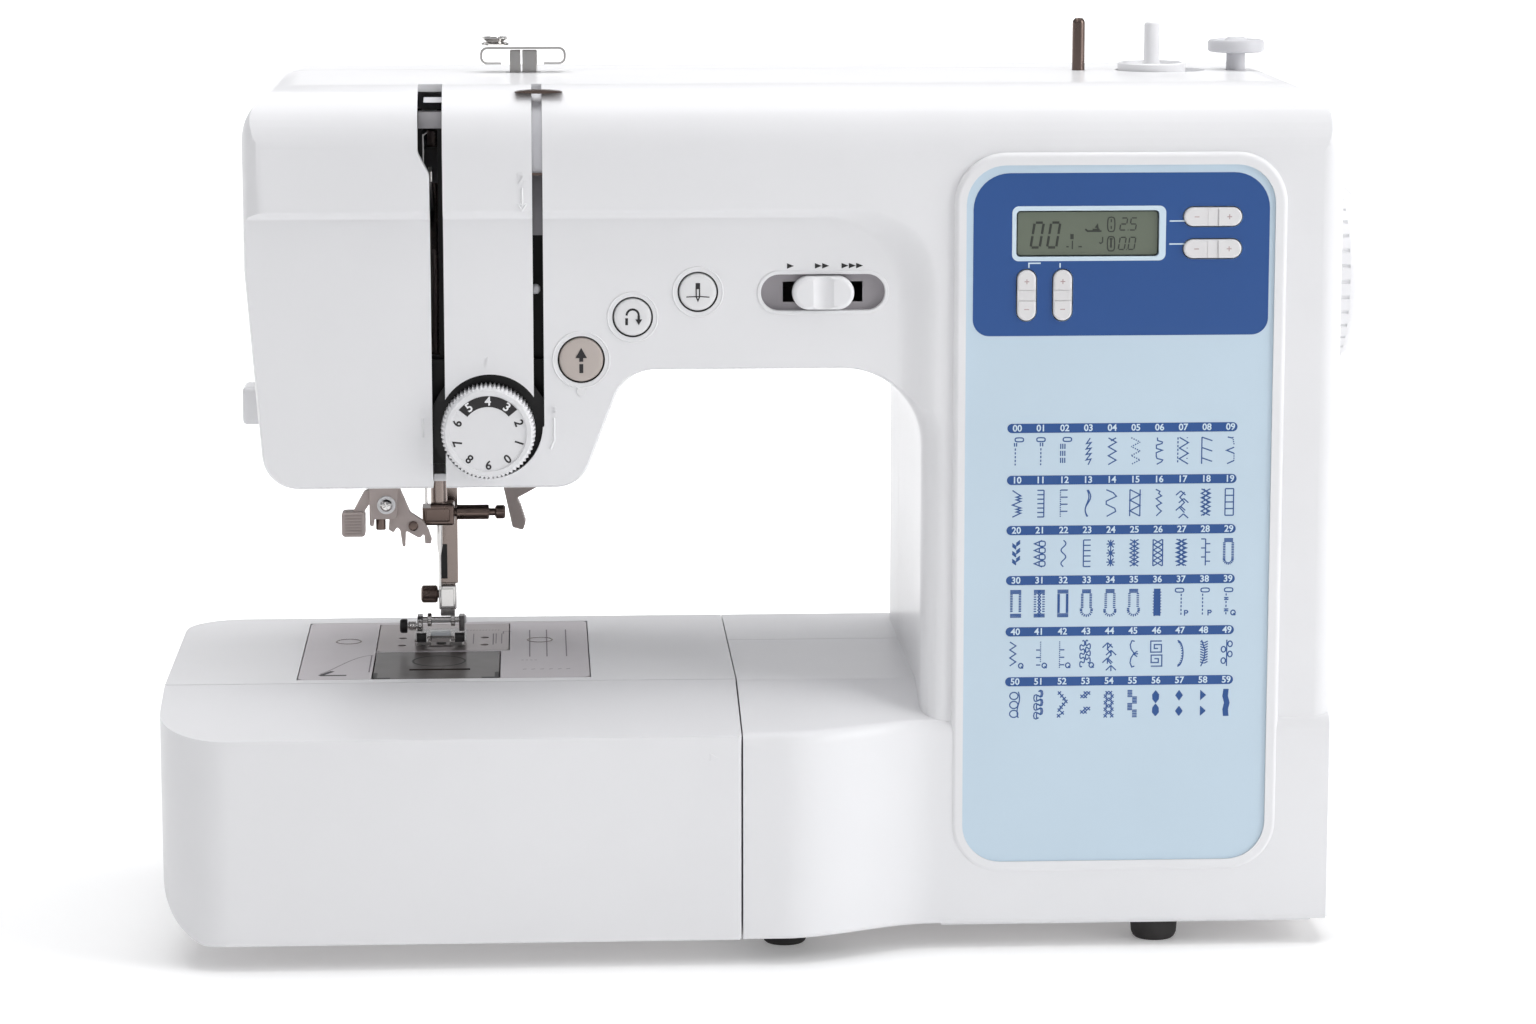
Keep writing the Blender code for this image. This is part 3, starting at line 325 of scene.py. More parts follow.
def lathe(profile, foot, way=(0, 0, 1), sides=48):
    """Spins a profile of (radius, distance along the way) into a turned piece."""
    bm = bmesh.new()
    ring = [bm.verts.new((radius, 0, along)) for radius, along in profile]
    edges = [bm.edges.new(pair) for pair in zip(ring, ring[1:])]
    bmesh.ops.spin(
        bm, geom=ring + edges, axis=(0, 0, 1), cent=(0, 0, 0), angle=math.tau,
        steps=sides, use_merge=True,
    )
    bmesh.ops.remove_doubles(bm, verts=bm.verts, dist=0.002)
    bmesh.ops.recalc_face_normals(bm, faces=bm.faces)
    turn = Vector(way).to_track_quat("Z", "Y").to_matrix().to_4x4()
    bmesh.ops.transform(bm, matrix=Matrix.Translation(foot) @ turn, verts=bm.verts)
    return bm


def together(*solids):
    """Puts several separate solids into one mesh."""
    whole = bmesh.new()
    for solid in solids:
        mesh = bpy.data.meshes.new("part")
        solid.to_mesh(mesh)
        solid.free()
        whole.from_mesh(mesh)
        bpy.data.meshes.remove(mesh)
    return whole


def carve(bm, tool, operation="DIFFERENCE"):
    """Cuts, joins or trims one solid with another."""
    pair = []
    for solid in (bm, tool):
        mesh = bpy.data.meshes.new("part")
        solid.to_mesh(mesh)
        solid.free()
        holder = bpy.data.objects.new("part", mesh)
        scene.collection.objects.link(holder)
        pair.append(holder)
    change = pair[0].modifiers.new("carve", "BOOLEAN")
    change.operation = operation
    change.solver = "EXACT"
    change.object = pair[1]
    ready = pair[0].evaluated_get(bpy.context.evaluated_depsgraph_get())
    result = bmesh.new()
    result.from_mesh(ready.to_mesh())
    for holder in pair:
        mesh = holder.data
        bpy.data.objects.remove(holder)
        bpy.data.meshes.remove(mesh)
    return result


def settle(name, bm, finish, body, stands_for=(), crisp=32, even=True):
    """Turns a solid drawn in millimetres into a finished piece that rides on its body."""
    bmesh.ops.scale(bm, verts=bm.verts, vec=(MM, MM, MM))
    bmesh.ops.remove_doubles(bm, verts=bm.verts, dist=1e-6)
    mesh = bpy.data.meshes.new(name)
    bm.to_mesh(mesh)
    bm.free()
    mesh.shade_smooth()
    mesh.set_sharp_from_angle(angle=math.radians(crisp))
    mesh.materials.append(finish.material)
    piece = bpy.data.objects.new(name, mesh)
    scene.collection.objects.link(piece)
    if even:
        normals = piece.modifiers.new("even", "WEIGHTED_NORMAL")
        normals.keep_sharp = True
        normals.weight = 60
    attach(piece, body)
    if stands_for:
        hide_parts(*stands_for)
    return piece


white_gloss = moulded(
    "white_gloss_plastic", (0.80, 0.80, 0.815), 0.3, 0.015, 0.012, Coat_Weight=0.05,
    Coat_Roughness=0.15, Specular_IOR_Level=0.3,
)

TOP = 290.0
FRONT = -70.0
FIELD = -66.0
PARTING = 24.0
WALL = 2.5
SHAPE = [
    (-176, TOP, 17), (-176, 230, 60), (-170.5, 157.5, 12), (-66, 157.5, 12),
    (-51, 196.5, 14), (47, 196.5, 26), (47, -10, 0), (187, -10, 0), (187, TOP, 22),
]
INNER_SHAPE = [
    (-173.5, 287.5, 14.5), (-173.5, 230, 60), (-168.2, 160, 9.5), (-67.8, 160, 9.5),
    (-52.8, 199, 16.5), (49.5, 199, 28), (49.5, -12, 0), (184.5, -12, 0), (184.5, 287.5, 19.5),
]


def rounded_top(inset=0.0):
    """The side view of the arm, with its long top edges rounded."""
    return sideways(soft_outline([
        (FRONT + inset, -30, 0), (FRONT * -1 - inset, -30, 0),
        (FRONT * -1 - inset, TOP - inset, 20 - inset),
        (FRONT + inset, TOP - inset, 22 - inset),
    ], 14), -200, 200)


front = upright(soft_outline(SHAPE, 12), FRONT, PARTING)
round_edges(front, 8, 8, rim(1, FRONT))
front = carve(front, rounded_top(), "INTERSECT")
front = carve(front, block((-300, -200, -60), (300, 200, 8)))

FIELD_STEPS = 7
field = bmesh.new()
rings = []
for k in range(FIELD_STEPS + 2):
    share = max(k - 1, 0) / FIELD_STEPS
    ease = share * share * (3 - 2 * share)
    depth = FRONT + (FIELD - FRONT) * ease if k else FRONT - 12
    line = soft_outline([
        (-230, 60, 0), (52.5 - 14 * share, 60, 0), (52.5 - 14 * share, 250.3 - 3.5 * share, 26),
        (-230, 250.3 - 3.5 * share, 0),
    ], 14)
    loop = [field.verts.new((u, depth, v)) for u, v in line]
    rings.append([field.edges.new(pair) for pair in zip(loop, loop[1:] + loop[:1])])
for first, second in zip(rings, rings[1:]):
    bmesh.ops.bridge_loops(field, edges=first + second)
bmesh.ops.holes_fill(field, edges=rings[0] + rings[-1])
bmesh.ops.recalc_face_normals(field, faces=field.faces)
front = carve(front, field)


def base_front(x):
    """How far forward the base block stands: it draws back in an S towards the column."""
    share = min(max((x - 0.0) / 52.0, 0.0), 1.0)
    return -89.0 + 17.6 * share * share * (3 - 2 * share)


def base_block(inset, left, right):
    """The base block's front half, drawn along X with its face following the S."""
    low = 8.6 if not inset else 2.0
    bm = sideways(soft_outline([
        (-89 + inset, low, 2.0 - inset * 0.7), (PARTING, low, 0), (PARTING, 88 - inset, 0),
        (-46 + inset * 0.2, 88 - inset, 16), (-89 + inset, 78 - inset, 5 - inset),
    ], 8), left, right)
    for k in range(26):
        bmesh.ops.bisect_plane(
            bm, geom=bm.verts[:] + bm.edges[:] + bm.faces[:], plane_co=(k * 2.15, 0, 0),
            plane_no=(1, 0, 0),
        )
    for v in bm.verts:
        if v.co.y < -46:
            v.co.y = -46 + (v.co.y + 46) * (base_front(v.co.x) + 46) / -43
    return bm


front = carve(front, base_block(0.0, -13.5, 184.6), "UNION")
front = carve(front, round_edges(
    upright(card((57, 26), (167.2, 268.5), 17, 12), FRONT - 1.9, FRONT + 4), 1.8, 6,
    rim(1, FRONT - 1.9),
), "UNION")
hollow = upright(soft_outline(INNER_SHAPE, 12), FIELD + WALL, PARTING + 20)
front = carve(front, carve(hollow, rounded_top(WALL), "INTERSECT"))
front = carve(front, upright(card((55, 12), (181, 268), 12), FRONT + WALL, PARTING + 18))
front = carve(front, base_block(WALL, -11, 184.1))
front = carve(front, block((117, -6, 284), (154.5, PARTING + 2, 289)), "UNION")
front = carve(front, block((-300, PARTING, -10), (300, 90, 400)))

DIAL_AT = (-96.5, 177.0)
START_AT = (-65.7, 200.5)
REVERSE_AT = (-48.7, 214.5)
NEEDLE_KEY_AT = (-27.2, 222.7)
SPEED_AT = (14.1, 222.3)
TOP_LINE_Y = 10.0
SHAFT = (18.0, 218.5)
deep = (FRONT - 8, FRONT + 22)
shallow = (FRONT - 8, FIELD + 12)
openings = [
    upright(soft_outline([
        (-114.9, 150, 0), (-110.6, 150, 0), (-110.6, 296, 0), (-118.6, 296, 0),
        (-118.6, 269, 4), (-114.9, 262, 4),
    ], 5), *deep),
    upright(card((-81.4, 178), (-78.0, 296), 0.6, 3), *deep),
    bar((-95.8, shallow[0], 178.5), (-95.8, shallow[1], 178.5), 17.3, 64),
    bar((-96.5, shallow[0], 177.0), (-96.5, shallow[1], 177.0), 15.95, 64),
]
for opening in openings:
    front = carve(front, opening)
cutter_tab = round_edges(block((-181, -8, 171), (-170, 8, 184)), 1.6, 4)
front = carve(front, cutter_tab, "UNION")
for (x, z), radius in ((START_AT, 7.8), (REVERSE_AT, 6.7), (NEEDLE_KEY_AT, 6.7)):
    front = carve(front, bar((x, shallow[0], z), (x, shallow[1], z), radius, 48))
front = carve(front, upright(capsule(SPEED_AT, 41, 12), *shallow))
front = carve(front, upright(card((60.9, 29.9), (163.1, 264.4), 13, 10), FRONT - 8, FRONT + 12))
for x, radius in ((107.3, 2.6), (162.0, 3.7)):
    front = carve(front, bar((x, TOP_LINE_Y, 270), (x, TOP_LINE_Y, 300), radius, 24))
front = carve(front, level(capsule((135.7, TOP_LINE_Y), 31.2, 25.2), 288, 300))
front = carve(front, level(capsule((135.7, TOP_LINE_Y), 14, 7.6), 270, 300))
front = carve(front, block((-90, 8, 270), (-78, 12, 300)))
front = carve(front, block((180, -24.5, 39.5), (195, 0.5, 64.5)))
front = carve(front, block((180, -22.5, 99.5), (195, -3.5, 126.5)))
front = carve(front, bar((180, *SHAFT), (195, *SHAFT), 9.5, 40))
front = carve(front, block((-150, 1, 150), (-77, 62, 163.5)))
front = carve(front, block((-18.5, -41, 30), (-7.5, 69, 84)))
settle("front_casing", front, white_gloss, "chassis", ["front_cover"])

# ---------------------------------------------------------------- casing back
# The back half, in the same white plastic, meets the front in a fine parting line. It has
# cooling slots behind the column, two ears for the handle and a slot for the feed lever.

back = upright(soft_outline(SHAPE, 12), PARTING - 8, -FRONT)
round_edges(back, 10, 8, rim(1, -FRONT))
back = carve(back, rounded_top(), "INTERSECT")
back = carve(back, block((-300, -200, -60), (300, 200, 8)))
back = carve(back, sideways(soft_outline([
    (10, 8.6, 0), (89, 8.6, 3), (89, 78, 6), (74, 88, 10), (10, 88, 0),
]), -13.5, 184.6), "UNION")
for x in (-49.5, 89.5):
    ear = round_edges(block((x - 3, 60, 254), (x + 3, 84, 270)), 1.0, 3)
    back = carve(carve(back, ear, "UNION"), bar((x - 8, 78, 262), (x + 8, 78, 262), 2.6, 24))
hollow = upright(soft_outline(INNER_SHAPE, 12), PARTING - 20, 67.5)
round_edges(hollow, 8, 5, rim(1, 67.5))
back = carve(back, carve(hollow, rounded_top(WALL), "INTERSECT"))
back = carve(back, sideways(soft_outline([
    (0, 2, 0), (86.5, 2, 0), (86.5, 76, 4), (74, 85.5, 8), (0, 85.5, 0),
]), -11, 184.1))
back = carve(back, block((-300, -40, -10), (300, PARTING + 0.35, 400)))
back = carve(back, bar((180, *SHAFT), (195, *SHAFT), 9.5, 40))
back = carve(back, block((-150, 1, 150), (-77, 62, 163.5)))
back = carve(back, block((-18.5, -41, 30), (-7.5, 69, 84)))
back = carve(back, block((-110, 49, 150), (-55, 61, 176)))
for i in range(5):
    vent = upright(card((80, 120 + 9 * i), (150, 123 + 9 * i), 1.45, 6), 62, 75)
    back = carve(back, vent)
back = carve(back, upright(card((19, 34), (41, 40), 1.2, 4), 80, 95))
settle("back_casing", back, white_gloss, "chassis", ["rear_cover"])

# ---------------------------------------------------------------- free arm
# A hollow white moulding carries the stitch plates over the bed. Its outer end and its long
# edges are rounded so that sleeves slip over it.

arm = level(soft_outline([
    (-206.5, -43.7, 2), (-13.9, -43.7, 0), (-13.9, 72, 0), (-206.5, 72, 20),
]), 26, 88)
round_edges(arm, 4, 6, lambda m, e: m.z > 87.9 and abs(e.verts[0].co.z - e.verts[1].co.z) < 0.1
            and m.x < -14 and m.y > -43)
round_edges(arm, 5, 5, lambda m, e: m.z < 26.1 and abs(e.verts[0].co.z - e.verts[1].co.z) < 0.1
            and m.x < -14)
inside = level(soft_outline([
    (-204, -41.2, 2), (0, -41.2, 0), (0, 69.5, 0), (-204, 69.5, 18),
]), 28.5, 85.5)
round_edges(inside, 3, 3, lambda m, e: abs(e.verts[0].co.z - e.verts[1].co.z) < 0.1)
arm = carve(arm, inside)
arm = carve(arm, block((-162.6, -38.2, 80), (-62.8, 62.2, 95)))
settle("free_arm", arm, white_gloss, "chassis", ["free_arm_shell"])

# ---------------------------------------------------------------- accessory tray
# The flatbed tray slides on in front of the free arm. Its white lid slopes up from a soft
# crease to the bed and opens forward on pins near the table; the grey tub holds the feet.


def tray_tub(inset, low, back_edge):
    """The lid's outline: its plan, cut by the slope and rounded at the bottom left."""
    front, left, right = -89 + inset, -206.5 + inset, -14 - inset
    bm = level(soft_outline([
        (left, front, 24 - inset), (right, front, 1), (right, back_edge, 0), (left, back_edge, 0),
    ], 14), low, 120)
    rise = Vector((0, -10, 44.7)).normalized()
    top = Vector((0, -89, 78)) - rise * inset
    bmesh.ops.bisect_plane(
        bm, geom=bm.verts[:] + bm.edges[:] + bm.faces[:], plane_co=top, plane_no=rise,
        clear_outer=True,
    )
    bmesh.ops.holes_fill(bm, edges=[e for e in bm.edges if e.is_boundary])
    bmesh.ops.recalc_face_normals(bm, faces=bm.faces)

    def on_crease(middle, edge):
        flush = all(abs((v.co - top).dot(rise)) < 0.01 for v in edge.verts)
        return flush and middle.y < back_edge - 0.1 and middle.x < right - 0.1

    round_edges(bm, 4.5, 7, on_crease)
    if inset:
        return bm
    round_edges(bm, 1.2, 3, lambda m, e: all(abs(v.co.z - low) < 1e-3 for v in e.verts))
    face = upright(soft_outline([
        (left - 0.01, low - 1, 22), (right + 5, low - 1, 0), (right + 5, 130, 0),
        (left - 0.01, 130, 0),
    ], 14), front - 5, back_edge + 10)
    return carve(bm, face, "INTERSECT")


lid = carve(tray_tub(0.0, 8.6, -44.3), tray_tub(2.2, -4, -30))
settle("tray_lid", lid, white_gloss, "tray_cover", ["tray_cover"])

mark = lathe([(0, -0.3), (1.7, -0.3), (1.45, 0), (0, 0)], (-23.6, -89.15, 71), (0, -1, 0), 3)
settle("tray_open_mark", mark, white_gloss, "tray_cover")

grey_satin = moulded("grey_satin_plastic", tone(196, 193, 194), 0.5, 0.02, 0.02)


def dress(finish, *names):
    """Gives solids of the frame their finish, leaving their shapes as they are."""
    for name in names:
        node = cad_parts[name]
        if not node.material_slots:
            node.data.materials.append(finish.material)
        for holder in node.material_slots:
            holder.material = finish.material


dress(grey_satin, "tray_body", "base_plate", "drop_feed_lever")
white_satin = moulded("white_satin_plastic", (0.76, 0.76, 0.775), 0.42, 0.015, 0.015)
dress(white_satin, "carry_handle")

# ---------------------------------------------------------------- feet
# Four black rubber feet are pushed into the base plate.

rubber = moulded("black_rubber", tone(52, 50, 50), 0.75, 0.08, 0.03, 0.9)
for i, (x, y) in enumerate(((128, -58), (2, -58), (170, 76), (2, 76))):
    foot = lathe([
        (0, 0), (4.6, 0), (4.9, 0.5), (5.6, 0.5), (5.9, 0), (6.5, 0.05), (7.1, 0.6),
        (7.7, 2.0), (8.2, 8.3), (0, 8.3),
    ], (x, y, 0))
    name = f"rubber_foot_{i + 1}"
    settle(f"{name}_tread", foot, rubber, "chassis", [name])

# ---------------------------------------------------------------- stitch plates
# A lilac-grey cover plate drops into the free arm round a bronze-toned metal needle plate
# and a smoked bobbin lid. Seam-guide lines and the threading path are printed on it.


def flat_lines(lines, width, height=0.12):
    """Printed lines along lists of (u, v) points, closed where the first point recurs."""
    curve = bpy.data.curves.new("lines", "CURVE")
    curve.dimensions = "2D"
    curve.fill_mode = "NONE"
    curve.bevel_depth = width / 2
    curve.bevel_resolution = 0
    curve.use_fill_caps = True
    for line in lines:
        closed = len(line) > 2 and (Vector(line[0]) - Vector(line[-1])).length < 1e-6
        spots = line[:-1] if closed else line
        spline = curve.splines.new("POLY")
        spline.points.add(len(spots) - 1)
        for point, (u, v) in zip(spline.points, spots):
            point.co = (u, v, 0, 1)
        spline.use_cyclic_u = closed
    bm = from_curve(curve)
    bmesh.ops.scale(bm, verts=bm.verts, vec=(1, 1, height / width))
    return bm


def from_curve(curve):
    holder = bpy.data.objects.new("curve", curve)
    scene.collection.objects.link(holder)
    ready = holder.evaluated_get(bpy.context.evaluated_depsgraph_get())
    bm = bmesh.new()
    bm.from_mesh(ready.to_mesh())
    bpy.data.objects.remove(holder)
    bpy.data.curves.remove(curve)
    bmesh.ops.remove_doubles(bm, verts=bm.verts, dist=1e-4)
    bmesh.ops.recalc_face_normals(bm, faces=bm.faces)
    return bm


def lettering(words, height=0.06):
    """Raised characters: (text, size, u, v, turn in degrees), centred on (u, v)."""
    signs = []
    for text, size, u, v, turn in words:
        curve = bpy.data.curves.new("sign", "FONT")
        curve.body = text
        curve.size = size
        curve.extrude = height / 2
        curve.align_x = "CENTER"
        curve.align_y = "CENTER"
        curve.resolution_u = 3
        curve.offset = 0.022 * size
        sign = from_curve(curve)
        spin = Matrix.Rotation(math.radians(turn), 4, "Z")
        place = Matrix.Translation((u, v, 0)) @ spin
        bmesh.ops.transform(sign, matrix=place, verts=sign.verts)
        signs.append(sign)
    return together(*signs)


def facing(bm, y):
    """Stands a drawing made lying down up against a front face at depth y."""
    turn = Matrix.Translation((0, y, 0)) @ Matrix.Rotation(math.radians(90), 4, "X")
    bmesh.ops.transform(bm, matrix=turn, verts=bm.verts)
    return bm


def lying(bm, z):
    bmesh.ops.translate(bm, verts=bm.verts, vec=(0, 0, z))
    return bm


lilac = moulded("lilac_grey_plastic", tone(196, 190, 194), 0.33, 0.02, 0.012)
bronze = moulded(
    "bronzed_steel", tone(112, 98, 92), 0.28, 0.06, 0.01, 1.2, Metallic=0.95,
)
plate_metal = moulded(
    "needle_plate_metal", tone(178, 170, 170), 0.36, 0.03, 0.006, 1.1, Metallic=0.6,
)
smoked = moulded("smoked_plastic", tone(66, 60, 58), 0.3, 0.08, 0.004)
smoked.shader.inputs["Specular IOR Level"].default_value = 0.28
print_black = moulded("black_print", tone(38, 36, 38), 0.5, 0.05, 0.004)
print_grey = moulded("grey_print", tone(120, 112, 118), 0.5, 0.05, 0.004)

plate = level(card((-162.2, -37.8), (-63.2, 61.8), 3), 86.2, 88.0)
plate = carve(plate, block((-137.4, -50, 83), (-93.6, 8.4, 93)))
plate = carve(plate, block((-137.4, 9.6, 83), (-90.6, 58.4, 93)))
settle("stitch_plate", plate, lilac, "chassis", ["needle_plate_cover"])
rings = [lathe([(3.9, 0), (4.7, 0), (4.5, 0.12), (4.1, 0.12), (3.9, 0)], (x, 28, 87.98))
         for x in (-147.5, -80.0)]
settle("finger_hole_rims", together(*rings), bronze, "chassis")

ruler = [[(x, -2), (x, 46)] for x in (-83.6, -77.6, -70.8)]
ruler += [[(-96.5, 20), (-96.5, 40)], [(-90.2 + 0.1, 44), (-93, 44), (-93, 40)]]
ruler += [[(-86.5 + 1.5 * k, -8), (-85.7 + 1.5 * k, -8)] for k in range(4)]
ruler += [[(-86 + 3.0 * k, -24), (-84.8 + 3.0 * k, -23.4)] for k in range(6)]
path = [(-155 + 17 * t, -28 + 31 * math.sin(t * math.pi / 2) ** 1.3) for t in
        [k / 14 for k in range(15)]]
ruler += [path, [(-138.5, 3), (-138.5, -26)]]
settle("seam_guide_print", lying(flat_lines(ruler, 0.45), 88.0), print_grey, "chassis")
corner = [[(-155, -31), (-146, -31)], [(-155, -31), (-151, -24)]]
settle("thread_path_print", lying(flat_lines(corner, 1.8), 88.0), print_black, "chassis")

metal_plate = level(card((-137, 10), (-91, 58), 1.5), 86.2, 88.0)
metal_plate = carve(metal_plate, level(capsule((-114.8, 18), 9, 2.8), 80, 95))
for row in (-6.5, 0.0, 6.5):
    slot = block((-114.8 + row - 1.6, 21.6, 80), (-114.8 + row + 1.6, 42, 95))
    metal_plate = carve(metal_plate, slot)
for x, y in ((-128.5, 20), (-128.5, 33), (-99.5, 20), (-99.5, 33)):
    metal_plate = carve(metal_plate, bar((x, y, 87.2), (x, y, 95), 1.5, 24))
settle("metal_needle_plate", metal_plate, plate_metal, "chassis", ["needle_plate"])
scale = [[(x, 22 + 0 * k), (x, 40)] for k, x in enumerate((-103.5, -95.5, -93.5))]
scale += [[(-107 + 1.1 * k, 46), (-106.6 + 1.1 * k, 47)] for k in range(12)]
settle("needle_plate_scale", lying(flat_lines(scale, 0.35), 88.0), print_grey, "chassis")

bobbin_lid = level(card((-137, -37.8), (-94, 8), 1.5), 86.2, 88.0)
round_edges(bobbin_lid, 0.4, 2, rim(2, 88.0))
bobbin_lid = carve(bobbin_lid, level(card((-125, -24), (-104, -21.4), 0.5, 3), 87.2, 92))
settle("bobbin_lid", bobbin_lid, smoked, "bobbin_cover", ["bobbin_cover"])
latches = [
    [(-136.2, -28), (-136.2, -36.6), (-131, -36.6)], [(-94.8, -28), (-94.8, -36.6), (-100, -36.6)],
]
settle("bobbin_lid_latches", lying(flat_lines(latches, 1.5, 0.2), 88.0), print_black,
       "bobbin_cover")
ring = [[(-115 + 9 * math.cos(a), -8 + 9 * math.sin(a))
         for a in [math.tau * k / 40 for k in range(41)]]]
settle("bobbin_lid_ring", lying(flat_lines(ring, 0.8), 88.0), print_black, "bobbin_cover")

# ---------------------------------------------------------------- running gear
# Steel shafts, cast frame, motor, belts, hook and bobbin: mostly out of sight inside the
# casing, each in its own metal or rubber.

steel = moulded("brushed_steel", tone(178, 176, 174), 0.3, 0.05, 0.008, 0.8, Metallic=1.0)
chrome = moulded("polished_chrome", tone(214, 212, 210), 0.1, 0.03, 0.002, Metallic=1.0)
cast = moulded("cast_aluminium", tone(150, 150, 152), 0.6, 0.06, 0.08, 1.4, Metallic=0.9)
can = moulded("motor_can", tone(142, 142, 146), 0.4, 0.05, 0.02, Metallic=0.9)
belt = moulded("belt_rubber", tone(44, 42, 42), 0.8, 0.1, 0.04, 0.7)
dark = moulded("dark_plastic", tone(30, 29, 30), 0.45, 0.1, 0.02)
clear_grey = moulded("bobbin_plastic", tone(150, 150, 152), 0.15, 0.05, 0.004)
dress(cast, "machine_frame")
dress(can, "motor")
dress(steel, "upper_shaft", "lower_shaft", "motor_pulley", "rotary_hook", "feed_bar", "feed_dog")
dress(belt, "motor_belt", "timing_belt")
dress(dark, "bobbin_case", "winder_arm", "thread_path_guard", "power_inlet")
dress(clear_grey, "bobbin")

# ---------------------------------------------------------------- handwheel
# A white cupped wheel on the shaft's right-hand end. Its rim is ribbed for grip and a notch
# on the edge faces the user.

profile = [
    (0, 188.4), (9, 188.4), (12, 202), (28.0, 201), (28.6, 189.2), (29.2, 188.6), (30.4, 188.6),
    (31, 189.3), (31, 199.4), (30.7, 201), (29.6, 203.1), (28.0, 204.5), (25.6, 205.5),
    (22, 206.2), (17, 206.5), (0, 206.5),
]
wheel = lathe(profile, (0, *SHAFT), (1, 0, 0), 96)
grips = []
for k in range(36):
    turn = math.tau * k / 36
    spot = Vector((194.2, SHAFT[0] + 31.1 * math.cos(turn), SHAFT[1] + 31.1 * math.sin(turn)))
    groove = bar(spot - Vector((5.2, 0, 0)), spot + Vector((5.2, 0, 0)), 0.75, 10)
    grips.append(groove)
wheel = carve(wheel, together(*grips))
settle("hand_wheel", wheel, white_gloss, "main_shaft", ["handwheel"])
mark = block((206.30, SHAFT[0] - 0.5, SHAFT[1] + 19), (206.42, SHAFT[0] + 0.5, SHAFT[1] + 24))
settle("hand_wheel_mark", mark, print_grey, "main_shaft")
# ---------------------------------------------------------------- control panel
# A pale-blue printed sheet lies in the framed opening. Its head is printed dark blue round
# the display window and the four keys, and six numbered rows show the stitches.

PANEL_FACE = -71.2
KEYS = {
    "length_key": (142.3, 247.2, "across"),
    "width_key": (142.3, 236.6, "across"),
    "stitch_tens_key": (80.9, 221.5, "upright"),
    "stitch_ones_key": (92.8, 221.5, "upright"),
}


def key_shape(x, z, way, long, wide):
    if way == "across":
        return capsule((x, z), long, wide, 8)
    return [(x - v, z + u) for u, v in capsule((0, 0), long - 2.4, wide, 8)]


def pierced(bm, grow):
    """Cuts the display window and the four key holes through a sheet of the panel."""
    window = card((77.4 - grow, 234.2 - grow), (124.6 + grow, 249.4 + grow), 1.5)
    holes = [upright(window, -80, -60)]
    for place in KEYS.values():
        holes.append(upright(key_shape(*place, 19.9 + 2 * grow, 6.9 + 2 * grow), -80, -60))
    return carve(bm, together(*holes))


pale_blue = moulded("pale_blue_panel", tone(194, 213, 227), 0.4, 0.015, 0.01)
deep_blue = moulded("deep_blue_print", tone(40, 80, 142), 0.42, 0.03, 0.008)
pale_print = moulded("pale_print", tone(206, 224, 236), 0.45, 0.01, 0.004)
sheet = upright(card((60.95, 29.95), (163.05, 264.35), 12.95, 12), PANEL_FACE, -69.2)
sheet = pierced(sheet, 0)
settle("panel_sheet", sheet, pale_blue, "chassis", ["control_panel"])
head = upright(soft_outline([
    (63.2, 208, 5.5), (161.2, 208, 5.5), (161.2, 261.8, 12), (63.2, 261.8, 12),
]), PANEL_FACE - 0.06, PANEL_FACE + 0.3)
settle("panel_head", pierced(head, 0.02), deep_blue, "chassis")
frame_line = upright(card((76, 232.8), (126.8, 250.9), 2.2), PANEL_FACE - 0.12, PANEL_FACE + 0.2)
frame_line = carve(frame_line, upright(card((77.4, 234.2), (124.6, 249.4), 1.3), -80, -60))
settle("display_frame", frame_line, pale_print, "chassis")
leaders = [
    [(128, 245.8), (133, 245.8)], [(128, 238.2), (133, 238.2)],
    [(85.5, 232.1), (81.6, 232.1), (81.6, 230.6)], [(91.9, 232.1), (91.9, 230.6)],
]
settle("display_leaders", facing(flat_lines(leaders, 0.45), PANEL_FACE - 0.06), pale_print,
       "chassis")

rows = (177.2, 159.8, 142.9, 126.0, 108.6, 91.6)
columns = [78.3 + 7.9 * k for k in range(10)]
bars = [upright(capsule((113.35, z), 76.7, 3.1, 8), PANEL_FACE - 0.06, PANEL_FACE + 0.2)
        for z in rows]
settle("stitch_number_bars", together(*bars), deep_blue, "chassis")
numbers = [(f"{tens}{ones}", 3.1, x, z - 0.05, 0)
           for tens, z in enumerate(rows) for ones, x in enumerate(columns)]
settle("stitch_numbers", facing(lettering(numbers), PANEL_FACE - 0.08), pale_print, "chassis",
       even=False)

H = 4.4


def zigzag(wide, turns, top=H, foot=-H, shift=0.0):
    step = (top - foot) / turns
    return [(shift + wide / 2 * (1 if k % 2 else -1), top - k * step) for k in range(turns + 1)]


def wavy(wide, turns, top=H, foot=-H, shift=0.0, lean=0.0):
    spots = [k / (12 * turns) for k in range(12 * turns + 1)]
    return [(shift + wide / 2 * math.sin(math.tau * turns * t),
             top + (foot - top) * t + lean * math.sin(2 * math.tau * turns * t)) for t in spots]


def dashed(line, on=0.75, off=0.5):
    """Breaks one run of line into dashes."""
    pieces, drawing, left = [], True, on
    for a, b in zip(line, line[1:]):
        a, b = Vector(a), Vector(b)
        while (b - a).length > left:
            stop = a + (b - a).normalized() * left
            if drawing:
                pieces.append([tuple(a), tuple(stop)])
            a, drawing, left = stop, not drawing, (off if drawing else on)
        if drawing and (b - a).length > 0.15:
            pieces.append([tuple(a), tuple(b)])
        left = max(left - (b - a).length, 0.05)
    return pieces


def rungs(left, right, count, top=H, foot=-H):
    step = (top - foot) / (count - 1)
    return [[(left, top - k * step), (right, top - k * step)] for k in range(count)]


def oval(u, v, long, high):
    return [(u + long / 2 * math.copysign(abs(math.cos(a)) ** 0.6, math.cos(a)),
             v + high / 2 * math.copysign(abs(math.sin(a)) ** 0.6, math.sin(a)))
            for a in [math.tau * k / 16 for k in range(16)]] + [(u + long / 2, v)]


